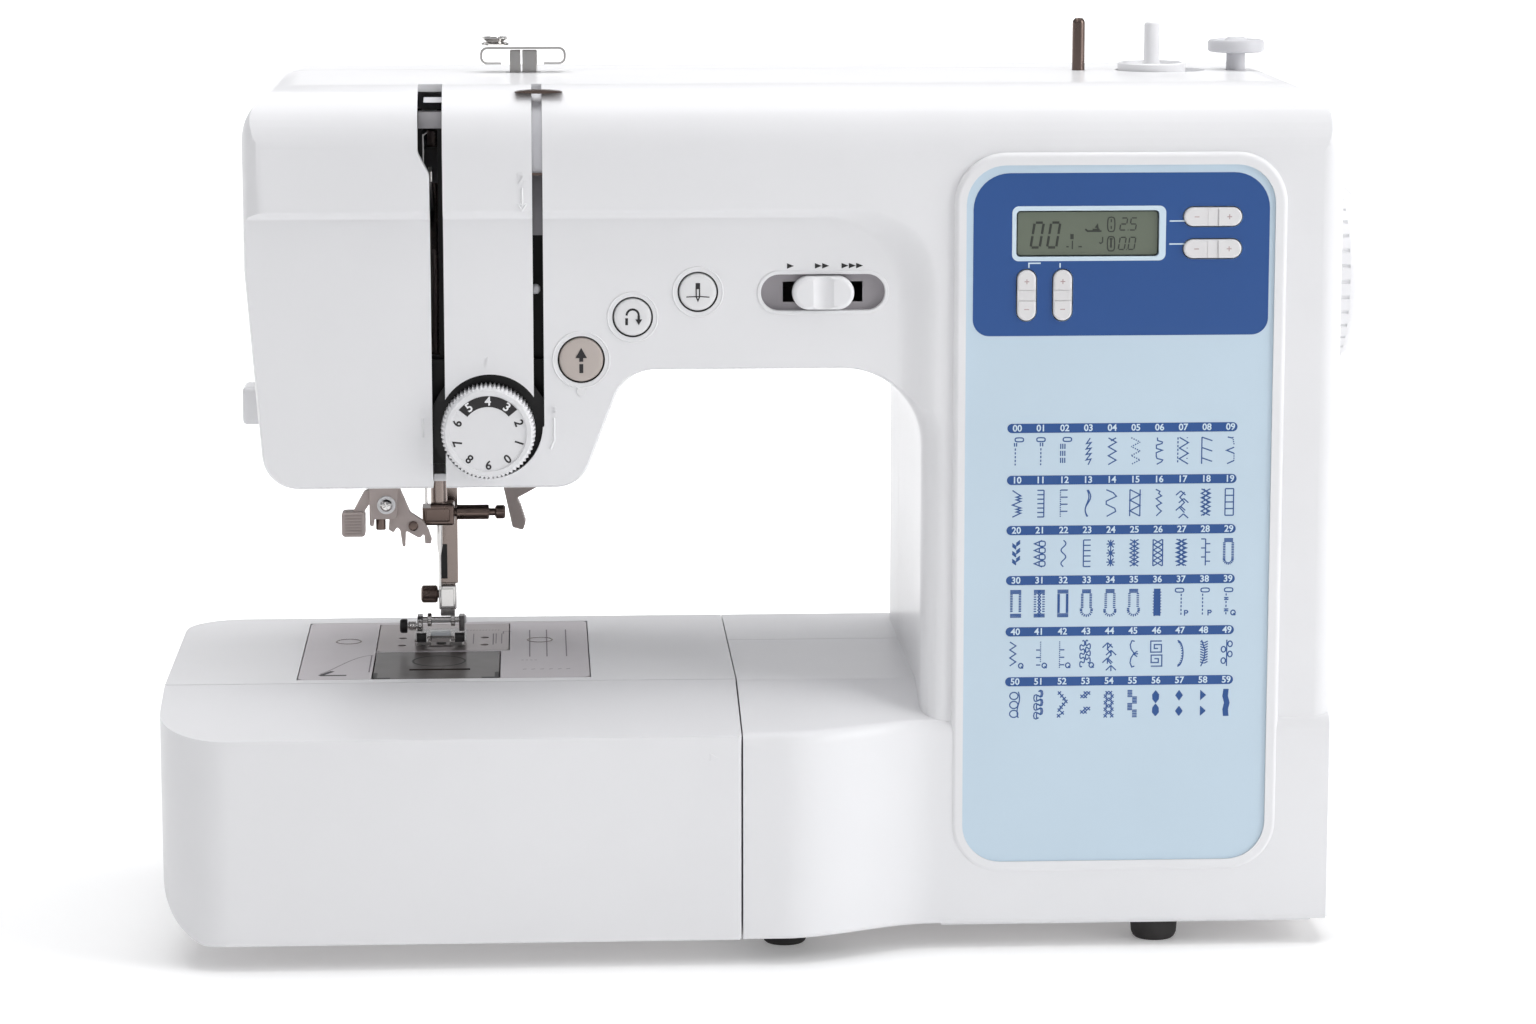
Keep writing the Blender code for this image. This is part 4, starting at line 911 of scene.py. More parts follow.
def ring_of(u, v, wide, high):
    turns = [math.tau * k / 14 for k in range(14)] + [0.0]
    return [(u + wide / 2 * math.cos(a), v + high / 2 * math.sin(a)) for a in turns]


def lattice(wide, count):
    return [zigzag(wide, count), zigzag(-wide, count)]


def crosses(spots):
    arm = 0.55
    return [[(u - s * arm, v - arm), (u + s * arm, v + arm)] for u, v in spots for s in (1, -1)]


def stroke(u, top=H, foot=-H):
    return [(u, top), (u, foot)]


def foot_mark(shift):
    return [oval(shift, H - 0.4, 2.8, 1.3)]


def buttonhole(keyhole, closed, pitch=0.55):
    """Short hatching round a buttonhole, widened to an eye at the foot."""
    marks = []
    for k in range(int(6.6 / pitch)):
        v = H - 1.4 - k * pitch
        wide = 1.0 if not keyhole or v > -1.6 else 1.35
        marks += [[(s * wide, v), (s * (wide + 0.85), v)] for s in (1, -1)]
    if closed:
        marks += rungs(-1.85, 1.85, 3, H, H - 0.9) + rungs(-1.85, 1.85, 3, -H + 0.9, -H)
    else:
        marks += rungs(-1.5, 1.5, 3, H, H - 0.9)
        for k in range(9):
            a = math.pi * (1 + k / 8)
            wide = 1.35 if keyhole else 1.0
            marks.append([
                (r * math.cos(a), -H + 2.0 + r * math.sin(a)) for r in (wide, wide + 0.85)
            ])
    return marks


def filled(widths, pitch=0.3):
    """A solid motif drawn as close hatching: half-widths down its height."""
    span = len(widths) - 1
    marks = []
    for k in range(int(2 * H / pitch) + 1):
        t = min(k * pitch / (2 * H), 0.9999) * span
        low, part = int(t), t - int(t)
        left = widths[low][0] * (1 - part) + widths[low + 1][0] * part
        right = widths[low][1] * (1 - part) + widths[low + 1][1] * part
        if right - left > 0.2:
            marks.append([(left, H - k * pitch), (right, H - k * pitch)])
    return marks


def sprays(side_step, reach, drop, count=4, both=False):
    marks = []
    for k in range(count):
        v = H - 0.6 - k * (2 * H - 1.2) / (count - 1)
        u = side_step * (1 if k % 2 else -1)
        marks += [[(u, v), (u - reach, v - drop)], [(u, v), (u + reach, v - drop)]]
        if both:
            marks.append([(u, v), (u, v - drop * 1.2)])
    return marks


letter_q = [ring_of(1.9, -H + 0.8, 1.5, 1.6), [(2.0, -H + 0.6), (2.7, -H - 0.1)]]
letter_p = [[(1.4, -H - 0.1), (1.4, -H + 1.6), (2.2, -H + 1.6), (2.5, -H + 1.2),
             (2.2, -H + 0.8), (1.4, -H + 0.8)]]
PICTURES = [
    foot_mark(0.7) + [stroke(-0.9, 3, 1.8), stroke(-0.2, 3, 1.8)] + dashed(stroke(-0.6, 1.2)),
    foot_mark(0) + [stroke(-0.2, 3, 1.8), stroke(0.6, 3, 1.8)] + dashed(stroke(0, 1.2)),
    foot_mark(0.9) + [line for u in (-1.3, -0.6, 0.1) for line in dashed(stroke(u, 2.6), 1.7, 0.6)],
    [[(0.6, H), (-0.6, 2.6), (0.9, 2.9), (-0.7, 0.8), (0.9, 1.1), (-0.7, -1), (0.9, -0.7),
      (-0.7, -2.8), (0.9, -2.5), (0.0, -H)]],
    [zigzag(2.6, 6, shift=0.1), [(1.3, H), (-0.4, H - 1)]],
    dashed(zigzag(3.0, 6), 0.45, 0.35),
    [[(-0.7, H), (-0.6, 3.4), (1.0, 2.9), (0.9, 2.4), (-1.0, 1.9), (-1.0, 0.8), (1.0, 0.2),
      (-1.0, -0.6), (-1.0, -1.8), (-0.7, -2.5), (1.2, -3.0), (0.8, -3.6), (-0.8, -H)]],
    dashed(stroke(-1.7)) + [zigzag(3.0, 5, shift=0.3)] + dashed(stroke(1.4), 0.3, 1.4),
    [stroke(-1.6), [(-1.6, H), (1.9, 3.2)], [(-1.6, 1), (1.9, -0.2)], [(-1.6, -2.4), (1.9, -3.6)]],
    dashed([(0.8, H), (1.3, 1.6)], 0.4, 0.3) +
    [[(1.3, 1), (-1.2, 0), (1.3, -1)], [(-0.9, H), (0.8, H - 0.4)], [(1.3, -H + 1), (-1.0, -H)]] +
    dashed(stroke(1.3, -1, -3.4), 0.4, 0.3),
    [[(-1.4, H), (0.4, 3.2), (1.4, 2.6), (-0.1, 2.2), (1.4, 1.7), (-0.1, 1.3), (1.4, 0.8),
      (-1.4, -0.4), (1.4, -1.4), (-0.1, -1.8), (1.4, -2.2), (-0.1, -2.7), (1.4, -3.1), (-1.4, -H)]],
    [stroke(1.2)] + rungs(-1.0, 1.2, 7),
    dashed(stroke(-1.2), 0.4, 0.3) + rungs(-1.2, 1.2, 4, H, -2.6),
    [wavy(1.2, 1, shift=-0.2), wavy(1.8, 1, shift=0.1)],
    [[(-1.7, H), (0.6, 3.4), (1.7, 2.2), (-1.7, 0.6), (-1.7, -0.4), (1.2, -1.8), (1.5, -2.8),
      (-1.5, -H)]],
    [stroke(-1.7), stroke(1.7), zigzag(3.4, 5)],
    [[(-1, H), (0.4, 3.7), (0, 3), (1, 2.2), (-0.8, 1.3), (0.1, 0.5), (1, -0.2), (-0.7, -1.1),
      (0, -2), (1, -2.8), (0.1, -3.6), (-0.7, -H)]],
    [zigzag(-1.6, 4, H - 1, -H + 1)] + [line for line in sprays(0.5, 1.6, 1.4, 4)],
    lattice(3.0, 6) + [zigzag(1.5, 6)],
    [stroke(-1.4), stroke(1.4)] + rungs(-1.4, 1.4, 5),
    [line for s in (-0.45, 0, 0.45) for line in
     ([(-1.3, 3 - 2.6 * k + s), (0.0, 2 - 2.6 * k + s)] for k in range(3))] +
    [line for s in (-0.45, 0, 0.45) for line in
     ([(1.3, 4.0 - 2.6 * k + s), (0.0, 3.0 - 2.6 * k + s)] for k in range(3))],
    [oval(0.8, H - 1.1 - 2.2 * k, 2.0, 1.7) for k in range(4)] + [zigzag(-2.6, 8, shift=-0.5)],
    [wavy(1.6, 2)],
    [stroke(-1.2)] + rungs(-1.2, 1.2, 6),
    [stroke(0)] + [line for v in (3, 0, -3) for line in
     ([(-1.4, v), (1.4, v)], [(-1, v + 1.2), (1, v - 1.2)], [(-1, v - 1.2), (1, v + 1.2)])],
    lattice(2.8, 6) + [stroke(0)],
    [stroke(-1.6), stroke(1.6)] + lattice(3.0, 5),
    lattice(1.8, 6) + [zigzag(3.4, 6), zigzag(-3.4, 6)],
    [stroke(0.2), [(-1.3, H), (0.2, H)], [(0.2, 2.8), (1.8, 2.8)], [(-1.3, 1.4), (0.2, 1.4)],
     [(0.2, 0), (1.8, 0)], [(-1.3, -1.6), (0.2, -1.6)], [(0.2, -3), (1.8, -3)]],
    buttonhole(False, False),
    buttonhole(False, True),
    buttonhole(False, True, 0.8) + lattice(0.9, 8),
    buttonhole(False, True, 0.4),
    buttonhole(True, False),
    buttonhole(True, False, 0.65),
    buttonhole(True, False, 0.7),
    filled([(-1.1, 1.1), (-1.2, 1.2)], 0.33) + lattice(2.2, 9),
    foot_mark(-0.4) + dashed(stroke(0.2, 2.8)) + letter_p,
    foot_mark(0.3) + dashed(stroke(-0.5, 2.8)) + letter_p,
    foot_mark(0.3) + dashed(stroke(-0.5, 2.8)) + rungs(-1.2, 0.3, 2, 1.4, 0.8) +
    rungs(-1.2, 0.3, 2, -2.4, -3) + letter_q,
    [zigzag(2.0, 6, H, -H + 0.8, -0.8)] + letter_q,
    dashed(stroke(0.6, H, -H + 1.6), 0.35, 0.3) + rungs(-0.9, 0.6, 3, 1.6, -3.4) + letter_q,
    dashed(stroke(-0.9), 0.35, 0.3) + rungs(-0.9, 0.7, 3, 1.6, -3.4) + letter_q,
    [wavy(1.6, 3, H, -H + 0.4, -1.2, 0.5), wavy(-1.6, 3, H, -H + 1.8, 0.7, 0.6)] + letter_q,
    sprays(0.6, 1.7, 1.6, 4, True) + [zigzag(-1.4, 4, H - 1, -H + 1)],
    [[(0.6, H - 0.2), (-0.3, H), (-0.9, 3), (-0.6, 1.6), (0.4, 0.2), (-0.6, -1.4), (-0.9, -3),
      (-0.3, -H), (0.6, -H + 0.3)],
     [(0.2, 0), (1.6, 0.9)], [(0.2, 0), (1.8, 0)], [(0.2, 0), (1.5, -1)]],
    [[(1.8, 4.2), (-1.9, 4.2), (-1.9, 0.5), (1.7, 0.5), (1.7, 3), (-0.7, 3), (-0.7, 1.7),
      (0.6, 1.7)],
     [(-1.8, -4.2), (1.9, -4.2), (1.9, -0.5), (-1.7, -0.5), (-1.7, -3), (0.7, -3), (0.7, -1.7),
      (-0.6, -1.7)]],
    [[(-0.8 + 1.9 * math.cos(a), 4.3 * math.sin(a))
      for a in [0.5 * math.pi * (k / 8 - 1) for k in range(17)]]] +
    [[(-0.8 + r * math.cos(a), (r + 2.4) * math.sin(a)) for r in (1.3, 1.9)]
     for a in [math.pi * (k / 14 - 0.5) for k in range(1, 14)]],
    [[(-0.6, H), (0.6, 1), (0.3, -2), (-0.8, -H)]] +
    [line for k in range(9) for line in
     ([(0.2, 3.4 - 0.85 * k), (-1.0, 3.9 - 0.85 * k)],
      [(0.3, 3.4 - 0.85 * k), (1.5, 4.0 - 0.85 * k)])],
    [stroke(0, H, -H)] + [ring_of(s, v, 1.5, 1.9) for s, v in
     ((1.1, 3), (-1.1, 1.2), (1.1, -0.4), (-1.1, -2.6))],
    [ring_of(-0.3, 3 - 3 * k, 2.8, 2.4) for k in range(3)] + [wavy(0.8, 1, shift=1.2)],
    [wavy(3.0, 3, lean=0.75), wavy(1.6, 3, shift=0.2, lean=0.5)],
    crosses([(zig, H - 0.6 - 0.95 * k) for k, zig in
             enumerate((-0.8, 0, 0.8, 1.4, 0.6, -0.2, -0.8, 0.2, -1.0))]),
    crosses([(u, v + w) for v in (2.6, -2.6) for u, w in
             ((-1.1, 0), (0, 1.1), (1.1, 1.1), (0, 0), (0, 0))]),
    crosses([(u, H - 0.7 - 1.1 * k) for k in range(8)
             for u in ((-1.1, 1.1) if k % 2 else (-0.55, 0.55))]),
    rungs(-1.6, 0, 5, H, 2.4) + rungs(0, 1.6, 5, 2.2, 0.2) + rungs(-1.6, 0, 5, 0, -2) +
    rungs(0, 1.6, 5, -2.2, -H),
    filled([(0, 0), (-1.2, 1.2), (-1.1, 1.1), (0, 0), (-1.1, 1.1), (-1.2, 1.2), (0, 0)]),
    filled([(0, 0), (-1.3, 1.3), (0, 0), (0, 0), (-1.3, 1.3), (0, 0)]),
    filled([(-0.8, -0.8), (-0.8, 1.2), (-0.8, -0.8), (-0.8, -0.8), (-0.8, 1.2), (-0.8, -0.8)]),
    filled([(-0.9, 0.9), (-1.2, 0.7), (-0.6, 1.3), (-1.1, 0.8), (-0.9, 1.0)]),
]
drawn_lines = []
for number, picture in enumerate(PICTURES):
    u, v = columns[number % 10], rows[number // 10] - 7.9
    for line in picture:
        if len(line) > 1:
            drawn_lines.append([(u + x * 1.0, v + y * 1.02) for x, y in line])
settle("stitch_pictures", facing(flat_lines(drawn_lines, 0.42, 0.1), PANEL_FACE), deep_blue,
       "chassis")

# ---------------------------------------------------------------- display
# A grey-green liquid-crystal glass is set back in the window. Dark slanted segments show the
# stitch number, needle place, foot, stitch length and width.

display_green = moulded(
    "display_glass", tone(104, 112, 98), 0.18, 0.03, 0.002, Coat_Weight=0.3,
)
segment_ink = moulded("display_segments", tone(52, 56, 50), 0.4, 0.05, 0.002)
glass = upright(card((77.8, 234.6), (124.2, 249.0), 1.2), -70.4, -68.0)
round_edges(glass, 0.2, 2, rim(1, -70.4))
settle("display_glass", glass, display_green, "chassis", ["lcd_module"])

SEGMENTS = {
    "0": "abcdef", "2": "abged", "5": "afgcd",
}


def seven(text, u, v, wide, high, gap=0.25):
    """Slanted seven-segment figures, as strokes."""
    lean = 0.16
    half = high / 2
    ends = {
        "a": ((0, high), (wide, high)), "b": ((wide, high), (wide, half)),
        "c": ((wide, half), (wide, 0)), "d": ((0, 0), (wide, 0)), "e": ((0, half), (0, 0)),
        "f": ((0, high), (0, half)), "g": ((0, half), (wide, half)),
    }
    lines = []
    for figure in text:
        if figure == ".":
            lines.append([(u - 0.55, v), (u - 0.3, v)])
            continue
        for name in SEGMENTS[figure]:
            (x0, y0), (x1, y1) = ends[name]
            a = Vector((u + x0 + lean * y0, v + y0))
            b = Vector((u + x1 + lean * y1, v + y1))
            cut = (b - a).normalized() * gap
            lines.append([tuple(a + cut), tuple(b - cut)])
        u += wide + high * 0.3
    return lines


big = seven("00", 82.2, 237.2, 3.0, 8.2, 0.35)
small = seven("2.5", 111.6, 242.8, 2.0, 4.0, 0.2) + seven("0.0", 111.2, 236.4, 2.0, 4.0, 0.2)
small += [oval(108.8, 244.7, 2.4, 4.8), oval(108.8, 238.3, 2.4, 4.8)]
small += [[(108.8, 246.4), (108.8, 245.4)], [(108.8, 244.2), (108.8, 243.2)]]
small += [[(94.0, 237.4), (94.8, 237.4)], [(98.0, 237.4), (99.2, 237.4)],
          [(96.0, 239.4), (96.0, 236.6)]]
small += [[(106.0, 240.6), (106.0, 238.9), (105.4, 238.4), (104.9, 238.8)]]
bold = [[(95.6, 241.6), (95.6, 239.9)], [(96.1, 241.6), (96.1, 239.9)],
        [(108.3, 239.9), (109.3, 239.9)], [(108.8, 239.8), (108.8, 237.0)]]
bold += [[(100.2, 243.2), (101.0, 242.5), (105.6, 242.5)], [(102.6, 243.0), (105.0, 243.0)],
         [(103.6, 243.6), (104.2, 244.4), (104.4, 243.2)]]
marks = together(flat_lines(big, 0.8), flat_lines(small, 0.42), flat_lines(bold, 0.6))
settle("display_marks", facing(marks, -70.42), segment_ink, "chassis")

# ---------------------------------------------------------------- rocking keys
# Four white keys, each one moulding in three zones, rock under a finger at either end. Small
# minus and plus marks are printed on the end zones.

white_key = moulded("white_key_plastic", (0.74, 0.73, 0.735), 0.36, 0.015, 0.01)
key_mark = moulded("key_mark_print", tone(176, 150, 150), 0.5, 0.04, 0.004)
# Dark grey for the painted shade in the gaps round the keys.
key_gap_painted_shade = moulded("key_gap_painted_shade_sheet", tone(60, 54, 56), 0.6, 0.05, 0.01)


def key_slab(x, z, way, start, end, depth):
    """A block across a key, from start to end along its length."""
    low, high = (start, -5), (end, 5)
    if way != "across":
        low, high = low[::-1], high[::-1]
    return block((x + low[0], face - 1, z + low[1]), (x + high[0], face + depth, z + high[1]))


face = PANEL_FACE - 1.0
for name, (x, z, way) in KEYS.items():
    key = upright(key_shape(x, z, way, 19.2, 6.2), face, -69.2)
    round_edges(key, 0.7, 4, rim(1, face))
    for side in (-1.75, 1.75):
        key = carve(key, key_slab(x, z, way, side - 0.16, side + 0.16, 0.5))
    key = carve(key, key_slab(x, z, way, -1.7, 1.7, 0.28))
    settle(f"{name}_cap", key, white_key, name, [name])
    out = (5.4, 0) if way == "across" else (0, 4.6)
    minus = [[(x - out[0] - 0.8, z - out[1]), (x - out[0] + 0.8, z - out[1])]]
    plus = [[(x + out[0] - 0.8, z + out[1]), (x + out[0] + 0.8, z + out[1])],
            [(x + out[0], z + out[1] - 0.8), (x + out[0], z + out[1] + 0.8)]]
    settle(f"{name}_signs", facing(flat_lines(minus + plus, 0.3, 0.08), face), key_mark, name)
    # A dark sheet behind each key: painted shade for the gap round the key.
    well = upright(key_shape(x, z, way, 20.6, 7.6), -68.5, -67.9)
    settle(f"{name}_well", well, key_gap_painted_shade, "chassis")

# ---------------------------------------------------------------- push buttons
# Three round buttons sit in rings on the arm: a beige start and stop button, then white ones
# for reverse and for raising the needle. Black signs are printed on them.

beige = moulded("beige_plastic", tone(186, 176, 170), 0.42, 0.02, 0.015)
white_button = moulded("white_button_plastic", (0.77, 0.77, 0.78), 0.34, 0.015, 0.01)
BUTTON_SIGNS = {
    "start_stop_button": (START_AT, 7.3, beige, [
        ([(0, -4.4), (0, -1.4)], 1.3), ([(0, -0.6), (0, 1.4)], 1.3)],
        [(-1.9, 0.6), (1.9, 0.6), (0, 4.0)]),
    "reverse_button": (REVERSE_AT, 6.2, white_button, [
        ([(-2.0, -2.6), (-2.0, -0.3)], 0.9),
        ([(-2.0 + 2.0 * (1 - math.cos(a)), 0.6 + 2.0 * math.sin(a)) for a in
          [math.pi * k / 12 for k in range(13)]], 0.7),
        ([(2.0, 0.6), (2.0, -1.2)], 0.8)],
        [(0.9, -0.7), (3.1, -0.7), (2.0, -2.6)]),
    "needle_position_button": (NEEDLE_KEY_AT, 6.2, white_button, [
        ([(-3.8, -1.6), (-1.2, -1.5), (1.2, -1.5), (3.8, -1.7)], 0.35),
        ([(-0.55, 2.8), (-0.55, -1.6), (0, -2.9), (0.55, -1.6), (0.55, 2.8), (-0.55, 2.8)], 0.4),
        ([(0, 2.6), (0, 1.0)], 0.9)], None),
}
for name, ((x, z), radius, finish, lines, arrow) in BUTTON_SIGNS.items():
    cap = lathe([
        (0, 0.12), (radius * 0.7, 0.02), (radius - 0.9, 0.05), (radius - 0.35, 0.25),
        (radius, 0.9), (radius, 7), (0, 7),
    ], (x, FIELD - 0.6, z), (0, 1, 0), 72)
    settle(f"{name}_cap", cap, finish, name,
           [name])
    signs = [flat_lines([[(x + u, z + v) for u, v in line]], width, 0.14)
             for line, width in lines]
    if arrow:
        head = level([(x + u, z + v) for u, v in arrow], -0.02, 0.07)
        signs.append(head)
    settle(f"{name}_sign", facing(together(*signs), FIELD - 0.58), print_black, name)
    trim = lathe([
        (radius + out, along) for out, along in (
            (0.62, 0), (2.3, 0), (2.1, -0.22), (1.9, -0.22), (1.75, -0.05), (0.75, -0.05),
            (0.62, 0),
        )
    ], (x, FIELD - 0.04, z), (0, 1, 0), 72)
    settle(f"{name}_ring", trim, white_gloss, "chassis")
    sleeve = lathe([
        (radius + out, along) for out, along in (
            (0.12, 1.2), (0.58, 0.15), (0.58, 6), (0.12, 6), (0.12, 1.2),
        )
    ], (x, FIELD - 0.1, z), (0, 1, 0), 72)
    settle(f"{name}_sleeve", sleeve, dark, "chassis")
lamp = upright(capsule((START_AT[0] - 0.1, START_AT[1] - 10.6), 3.2, 3.0), FIELD - 0.3, FIELD + 0.5)
round_edges(lamp, 0.2, 2, rim(1, FIELD - 0.3))
settle("start_lamp", lamp, white_button, "chassis")

# ---------------------------------------------------------------- speed slide
# A glossy white slide with a hollowed grip runs in a slot with a raised lip, over a grey
# back plate. Arrow marks above it show slow to fast.

slot_lip = upright(capsule(SPEED_AT, 43.6, 14.6), FIELD - 0.3, FIELD + 0.5)
slot_lip = carve(slot_lip, upright(capsule(SPEED_AT, 41.2, 12.2), -80, -50))
round_edges(slot_lip, 0.25, 3, rim(1, FIELD - 0.3))
settle("speed_slot_lip", slot_lip, white_gloss, "chassis")
slot_grey = moulded("slot_grey_plastic", tone(150, 146, 150), 0.5, 0.04, 0.02)
tray = upright(capsule(SPEED_AT, 42, 13), FIELD + 2.2, FIELD + 3.2)
x, z = SPEED_AT
tray = carve(tray, block((x - 13.2, -70, z - 3.4), (x + 13.2, -50, z + 3.4)))
settle("speed_slot_back", tray, slot_grey, "chassis")
knob = upright(capsule(SPEED_AT, 20.4, 11.0, 14), FIELD - 3.4, FIELD + 1.6)
round_edges(knob, 1.6, 6, rim(1, FIELD - 3.4))
scoop = bar((x, FIELD - 9.0, z - 12), (x, FIELD - 9.0, z + 12), 6.6, 64)
knob = carve(knob, scoop)
knob = carve(knob, block((x - 3, FIELD + 0.6, z - 3), (x + 3, FIELD + 9.6, z + 3)), "UNION")
settle("speed_slide", knob, white_gloss, "speed_knob", ["speed_knob"])
arrows = []
for count, start in ((1, 2.2), (2, 11.4), (3, 20.2)):
    for k in range(count):
        u = start + 2.4 * k
        arrows.append(level([(u, 230.2), (u + 2.3, 231.1), (u, 232.0)], -0.02, 0.05))
settle("speed_arrows", facing(together(*arrows), FIELD), print_black, "chassis")

# ---------------------------------------------------------------- thread tension dial
# A white dial with a knurled rim turns in a round hole, darkened by a ring of painted shade behind
# it. Its sunk face carries the figures 0 to 9, with the usual settings on a dark arc at the top.

x, z = DIAL_AT
outer = []
teeth = 66
for k in range(teeth * 4):
    turn = math.tau * k / (teeth * 4)
    radius = 15.1 + 0.5 * math.cos(turn * teeth)
    outer.append((x + radius * math.cos(turn), z + radius * math.sin(turn)))
dial = upright(outer, FIELD - 5.0, FIELD + 9)
dial = carve(dial, lathe([
    (14.3, -0.5), (14.3, 0), (15.8, 1.6), (20, 1.6), (20, -0.5), (14.3, -0.5)],
                         (x, FIELD - 5.0, z), (0, 1, 0), 96))
dial = carve(dial, lathe([(0, 0), (14.1, 0), (14.5, 0.5), (14.5, 1.5), (0, 1.5)],
                         (x, FIELD - 5.5, z), (0, 1, 0), 96), "UNION")
dial = carve(dial, lathe([(0, -2), (13.0, -2), (12.7, 0.55), (0, 0.55)],
                         (x, FIELD - 5.5, z), (0, 1, 0), 96))
dial = carve(dial, bar((x, FIELD + 8, z), (x, FIELD + 23, z), 4, 32), "UNION")
settle("tension_dial_knob", dial, white_satin, "tension_dial", ["tension_dial"],
       crisp=40)
arc = []
for radius, turns in ((12.3, range(29)), (8.7, range(28, -1, -1))):
    for k in turns:
        a = math.radians(90 - 51 + 102 * k / 28)
        arc.append((x + radius * math.cos(a), z + radius * math.sin(a)))
settle("tension_dial_arc", facing(level(arc, 0, 0.06), FIELD - 4.96), print_black,
       "tension_dial")
figures = []
for figure in range(10):
    a = 90 + 36 * (figure - 4)
    spot = (x + 10.5 * math.cos(math.radians(a)), z + 10.5 * math.sin(math.radians(a)))
    figures.append((str(figure), 4.1, *spot, a - 90))
pale_figures = [sign for sign in figures if sign[0] in "345"]
black_figures = [sign for sign in figures if sign[0] not in "345"]
print_white = moulded("white_print", tone(236, 236, 238), 0.5, 0.01, 0.004)
settle("tension_dial_usual", facing(lettering(pale_figures), FIELD - 5.04), print_white,
       "tension_dial", even=False)
settle("tension_dial_figures", facing(lettering(black_figures), FIELD - 4.97), print_black,
       "tension_dial", even=False)
# A dark ring behind the dial: painted shade for the hole round it.
well = lathe([(13.0, 0), (19.6, 0), (19.6, 1.2), (13.0, 1.2), (13.0, 0)],
             (-96.0, FIELD + 6.0, 178.2), (0, 1, 0), 64)
settle("tension_dial_painted_shade_ring", well, dark, "chassis")
# ---------------------------------------------------------------- thread slots
# Behind the head's two slots stand grey guide walls and a small steel catch. Darker grey copies
# of the walls deeper in the slots, and a dark plate below them, are painted shade for the inside
# of the casing. The take-up lever rides in the left-hand slot.

slot_light = moulded("slot_light_plastic", tone(206, 206, 210), 0.45, 0.02, 0.01)
# A darker copy of the pale slot grey: painted shade for the deeper parts of the slots.
slot_painted_shade = moulded("slot_wall_painted_shade", tone(128, 126, 130), 0.5, 0.03, 0.01)


def slot_wall(x0, x1, z0, z1, depth):
    wall = block((x0 + 0.05, -90, z0), (x1 - 0.05, -50, z1))
    return carve(wall, rounded_top(depth), "INTERSECT")


settle("right_slot_light", slot_wall(-81.4, -78.0, 262.4, 293, 2.2), slot_light, "chassis")
settle("right_slot_painted_shade", slot_wall(-81.4, -78.0, 241.4, 261.6, 7.2), slot_painted_shade, "chassis")
settle("right_slot_catch", slot_wall(-81.4, -78.0, 261.6, 262.4, 1.2), bronze, "chassis")
bead = lathe([(0, -1.7), (1.0, -1.5), (1.6, -0.7), (1.6, 0.7), (1.0, 1.5), (0, 1.7)],
             (-80.6, -61.5, 223.5), (0, 0, 1), 24)
settle("right_slot_bead", bead, slot_light, "chassis")
settle("left_slot_light", slot_wall(-116.8, -110.7, 284.5, 289.2, 4.0), slot_light, "chassis")
settle("left_slot_painted_shade", slot_wall(-118.5, -110.7, 276.5, 281.5, 6.0), slot_painted_shade, "chassis")
catch = [bar((-116.9, -62.0, 264), (-116.9, -60.5, 274.5), 0.4, 12),
         bar((-116.9, -60.5, 274.2), (-115.6, -59.6, 275.0), 0.4, 12)]
settle("left_slot_wire", together(*catch), chrome, "chassis")
# A dark plate behind the head: painted shade for the inside of the casing below the slots.
back_wall = block((-117, -52, 164), (-76, -50.5, 199))
settle("slot_painted_shade_backing", back_wall, dark, "chassis")
dress(chrome, "take_up_lever")

# ---------------------------------------------------------------- thread guides on top
# A folded steel bracket holds a looped guide plate, and a sprung disc on it tensions the
# thread for bobbin winding. A thin curved guide lies over the right-hand slot.

loop = upright(soft_outline([
    (-98.7, 292.9, 2.4), (-69.4, 292.9, 2.4), (-69.4, 298.9, 2.4), (-98.7, 298.9, 2.4),
], 6), 5, 15)
loop = carve(loop, upright(soft_outline([
    (-97.9, 293.7, 1.7), (-70.2, 293.7, 1.7), (-70.2, 298.1, 1.7), (-97.9, 298.1, 1.7),
], 6), 0, 20))
loop = carve(loop, block((-91.5, 0, 290), (-77.0, 20, 295)))
settle("top_guide_loop", loop, chrome, "chassis", ["thread_guide_plate"])
bracket = block((-88.6, 9, 262), (-79.2, 11, 297.6))
round_edges(bracket, 0.5, 3)
bracket = carve(bracket, block((-84.9, 7, 289), (-84.3, 13, 299)))
settle("top_guide_bracket", bracket, steel, "chassis", ["thread_guide_bracket"])
disc = lathe([
    (0, 299.3), (4.6, 299.3), (4.9, 299.7), (4.0, 300.2), (3.0, 300.5), (3.6, 300.9),
    (4.7, 301.6), (4.7, 302.0), (3.4, 301.7), (1.8, 301.1), (1.6, 302.2), (0, 302.2),
], (-93.6, 10, 0), (0, 0, 1), 40)
settle("pretension_discs", disc, chrome, "chassis", ["pretension_disc"])
blade = [(-86.8 + 15.6 * k / 16, 288.2 + 0.7 * math.sin(math.pi * k / 16) ** 0.6)
         for k in range(17)]
blade += [(-71.2 - 15.6 * k / 16, 288.1 - 0.4 * math.sin(math.pi * k / 16)) for k in range(17)]
lip = upright(blade, -61.6, -57.0)
settle("slot_guide_blade", lip, bronze, "chassis")

# ---------------------------------------------------------------- spool pin and winder
# A steel spool pin pulls up out of the top. Beside it the bobbin winder's shaft stands in a
# shallow seat, and a grey stop disc ends the winding.

